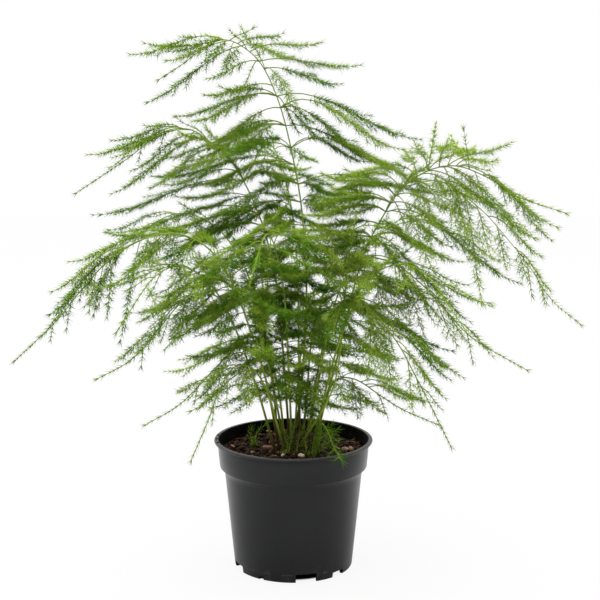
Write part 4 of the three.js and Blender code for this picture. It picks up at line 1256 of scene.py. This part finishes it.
def make_litter():
    """Bark chips, crumbs, wood splinters and pebbles that lie on the soil."""
    rng = np.random.default_rng(SEED + 2)
    shapes = {
        "slab": [chunk((1, 0.45, 0.28), k, 1) for k in range(5)],
        "lump": [chunk((1, 0.8, 0.7), k + 9, 1) for k in range(4)],
        "splinter": [chunk((1, 0.16, 0.12), k + 20, 1) for k in range(3)],
        "pebble": [chunk((1, 0.9, 0.95), k + 30) for k in range(3)],
    }
    shades = {
        "dark": ("120b07", "2c1a10", "5a3620"), "red": ("26160e", "593826", "8f6a50"),
        "pale": ("6f4a30", "b08a66", "d6b694"), "tan": ("4a2f1e", "8a6446", "b08c68"),
        "rose": ("7c5848", "b48c78", "d4b09c"), "stone": ("b0957a", "d6bfa4", "efe2cf"),
    }
    finishes = {name: bark_finish(f"{name}_litter", *map(colour, codes))
                for name, codes in shades.items()}
    spread = [("slab", "dark", 300, 2.5, 8), ("lump", "dark", 620, 1.0, 3.2),
              ("slab", "red", 150, 2, 6), ("lump", "red", 160, 1.2, 3.2),
              ("splinter", "pale", 30, 3, 9), ("lump", "stone", 40, 0.7, 1.8)]
    for form, shade, count, low, high in spread:
        scatter(f"{shade}_{form}s", shapes[form], scattered(count, low, high, rng), finishes[shade])
    scatter("wall_crumbs", shapes["lump"], on_the_wall(rng), finishes["dark"])
    for number, (form, shade, x, y, length, turn, tilt) in enumerate(CHIPS):
        lift = length * LIFT[form]
        place = (x, y, soil_height(x, y) + lift, length, turn, tilt, CHIP_ROLL)
        scatter(f"placed_{form}_{number}", shapes[form][number % 3:], [place], finishes[shade])


# ---------------------------------------------------------------- the studio
CAMERA = {"place": (0.005, -0.905, 0.347), "pitch": 9.0, "lens": 73.8}
LAMP = {"place": (-0.35, -0.5, 1.45), "target": (0, 0, 0.15), "size": 1.5, "watts": 22}
# The room's light from in front and behind with the y between which it changes, and the light added
# from above with its heights. Then the floor: what it throws back and how it looks to the camera,
# with the radii between which it brightens from the pot's underside outwards.
STUDIO = {
    "front": 0.14, "back": 2.3, "depth": (-0.6, 0.15), "above": 0.7, "heights": (0.25, 0.8),
    "floor_size": 6, "floor_bounce": 0.5, "floor_shade": 0.05, "floor_glow": 0.89,
    "floor_radii": (0.037, 0.0395),
}


def make_camera():
    camera = bpy.data.objects.new("camera", bpy.data.cameras.new("camera"))
    camera.location = CAMERA["place"]
    camera.rotation_euler = (math.radians(90 - CAMERA["pitch"]), 0, 0)
    camera.data.lens = CAMERA["lens"]
    bpy.context.scene.collection.objects.link(camera)
    bpy.context.scene.camera = camera


def make_lamp():
    lamp = bpy.data.lights.new("top_light", "AREA")
    lamp.size, lamp.energy = LAMP["size"], LAMP["watts"]
    light = bpy.data.objects.new("top_light", lamp)
    light.location = LAMP["place"]
    way = Vector(LAMP["target"]) - Vector(LAMP["place"])
    light.rotation_euler = way.to_track_quat("-Z", "Y").to_euler()
    bpy.context.scene.collection.objects.link(light)


def stage_node(tree, kind, links, **values):
    """A node of the stage: its sockets' links by name, then their values."""
    node = tree.nodes.new("ShaderNode" + kind)
    for name, socket in links.items():
        tree.links.new(socket, node.inputs[name])
    for name, value in values.items():
        node.inputs[name.replace("_", " ")].default_value = value
    return node.outputs


def stage_ramp(tree, value, ends, levels):
    """A value of the stage that runs from one level to another between two ends."""
    return stage_node(tree, "MapRange", {"Value": value}, From_Min=ends[0], From_Max=ends[1],
                      To_Min=levels[0], To_Max=levels[1])["Result"]


def make_world():
    """A white room that is darker where the camera stands."""
    world = bpy.data.worlds.new("studio")
    bpy.context.scene.world = world
    world.use_nodes = True
    tree = world.node_tree
    way = stage_node(tree, "TexCoord", {})["Generated"]
    _, y, z = stage_node(tree, "SeparateXYZ", {"Vector": way})
    behind = stage_ramp(tree, y, STUDIO["depth"], (STUDIO["front"], STUDIO["back"]))
    above = stage_ramp(tree, z, STUDIO["heights"], (0, STUDIO["above"]))
    total = tree.nodes.new("ShaderNodeMath")
    tree.links.new(behind, total.inputs[0])
    tree.links.new(above, total.inputs[1])
    seen = stage_node(tree, "LightPath", {})["Is Camera Ray"]
    strength = stage_node(tree, "Mix", {"Factor": seen, "A": total.outputs[0]}, B=1.0)["Result"]
    tree.links.new(strength, tree.nodes["Background"].inputs["Strength"])
    tree.nodes["Background"].inputs["Color"].default_value = (1, 1, 1, 1)


def make_floor():
    """A floor that the camera sees white, and that throws little light back up at the plant."""
    deselect()
    bpy.ops.mesh.primitive_plane_add(size=STUDIO["floor_size"], location=(0, 0, 0))
    floor = bpy.context.object
    floor.name = "floor"
    paper = bpy.data.materials.new("studio_floor")
    paper.use_nodes = True
    tree = paper.node_tree
    shader = tree.nodes["Principled BSDF"]
    shader.inputs["Roughness"].default_value = 1.0
    shader.inputs["Specular IOR Level"].default_value = 0.0
    shader.inputs["Emission Color"].default_value = (1, 1, 1, 1)
    seen = stage_node(tree, "LightPath", {})["Is Camera Ray"]
    place = stage_node(tree, "TexCoord", {})["Object"]
    away = tree.nodes.new("ShaderNodeVectorMath")
    away.operation = "LENGTH"
    tree.links.new(place, away.inputs[0])
    clear = stage_ramp(tree, away.outputs["Value"], STUDIO["floor_radii"],
                       (0, STUDIO["floor_glow"]))
    tone = stage_node(tree, "Mix", {"Factor": seen}, A=STUDIO["floor_bounce"],
                      B=STUDIO["floor_shade"])["Result"]
    glow = stage_node(tree, "Mix", {"Factor": seen, "B": clear}, A=0.0)["Result"]
    tree.links.new(tone, shader.inputs["Base Color"])
    tree.links.new(glow, shader.inputs["Emission Strength"])
    floor.data.materials.append(paper)


def make_studio():
    bpy.context.scene.view_settings.view_transform = "Standard"
    make_world()
    make_lamp()
    make_floor()


# ---------------------------------------------------------------- the whole plant
def make_fern():
    draw = make_draw(SEED)
    finish = foliage_finish("foliage")
    for name, parts in FRONDS.items():
        frond = grow_frond(name, parts, draw, finish)
        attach(frond, "root")
        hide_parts(f"frond_{name}")


make_camera()
make_studio()
make_pot()
make_soil()
make_litter()
make_fern()
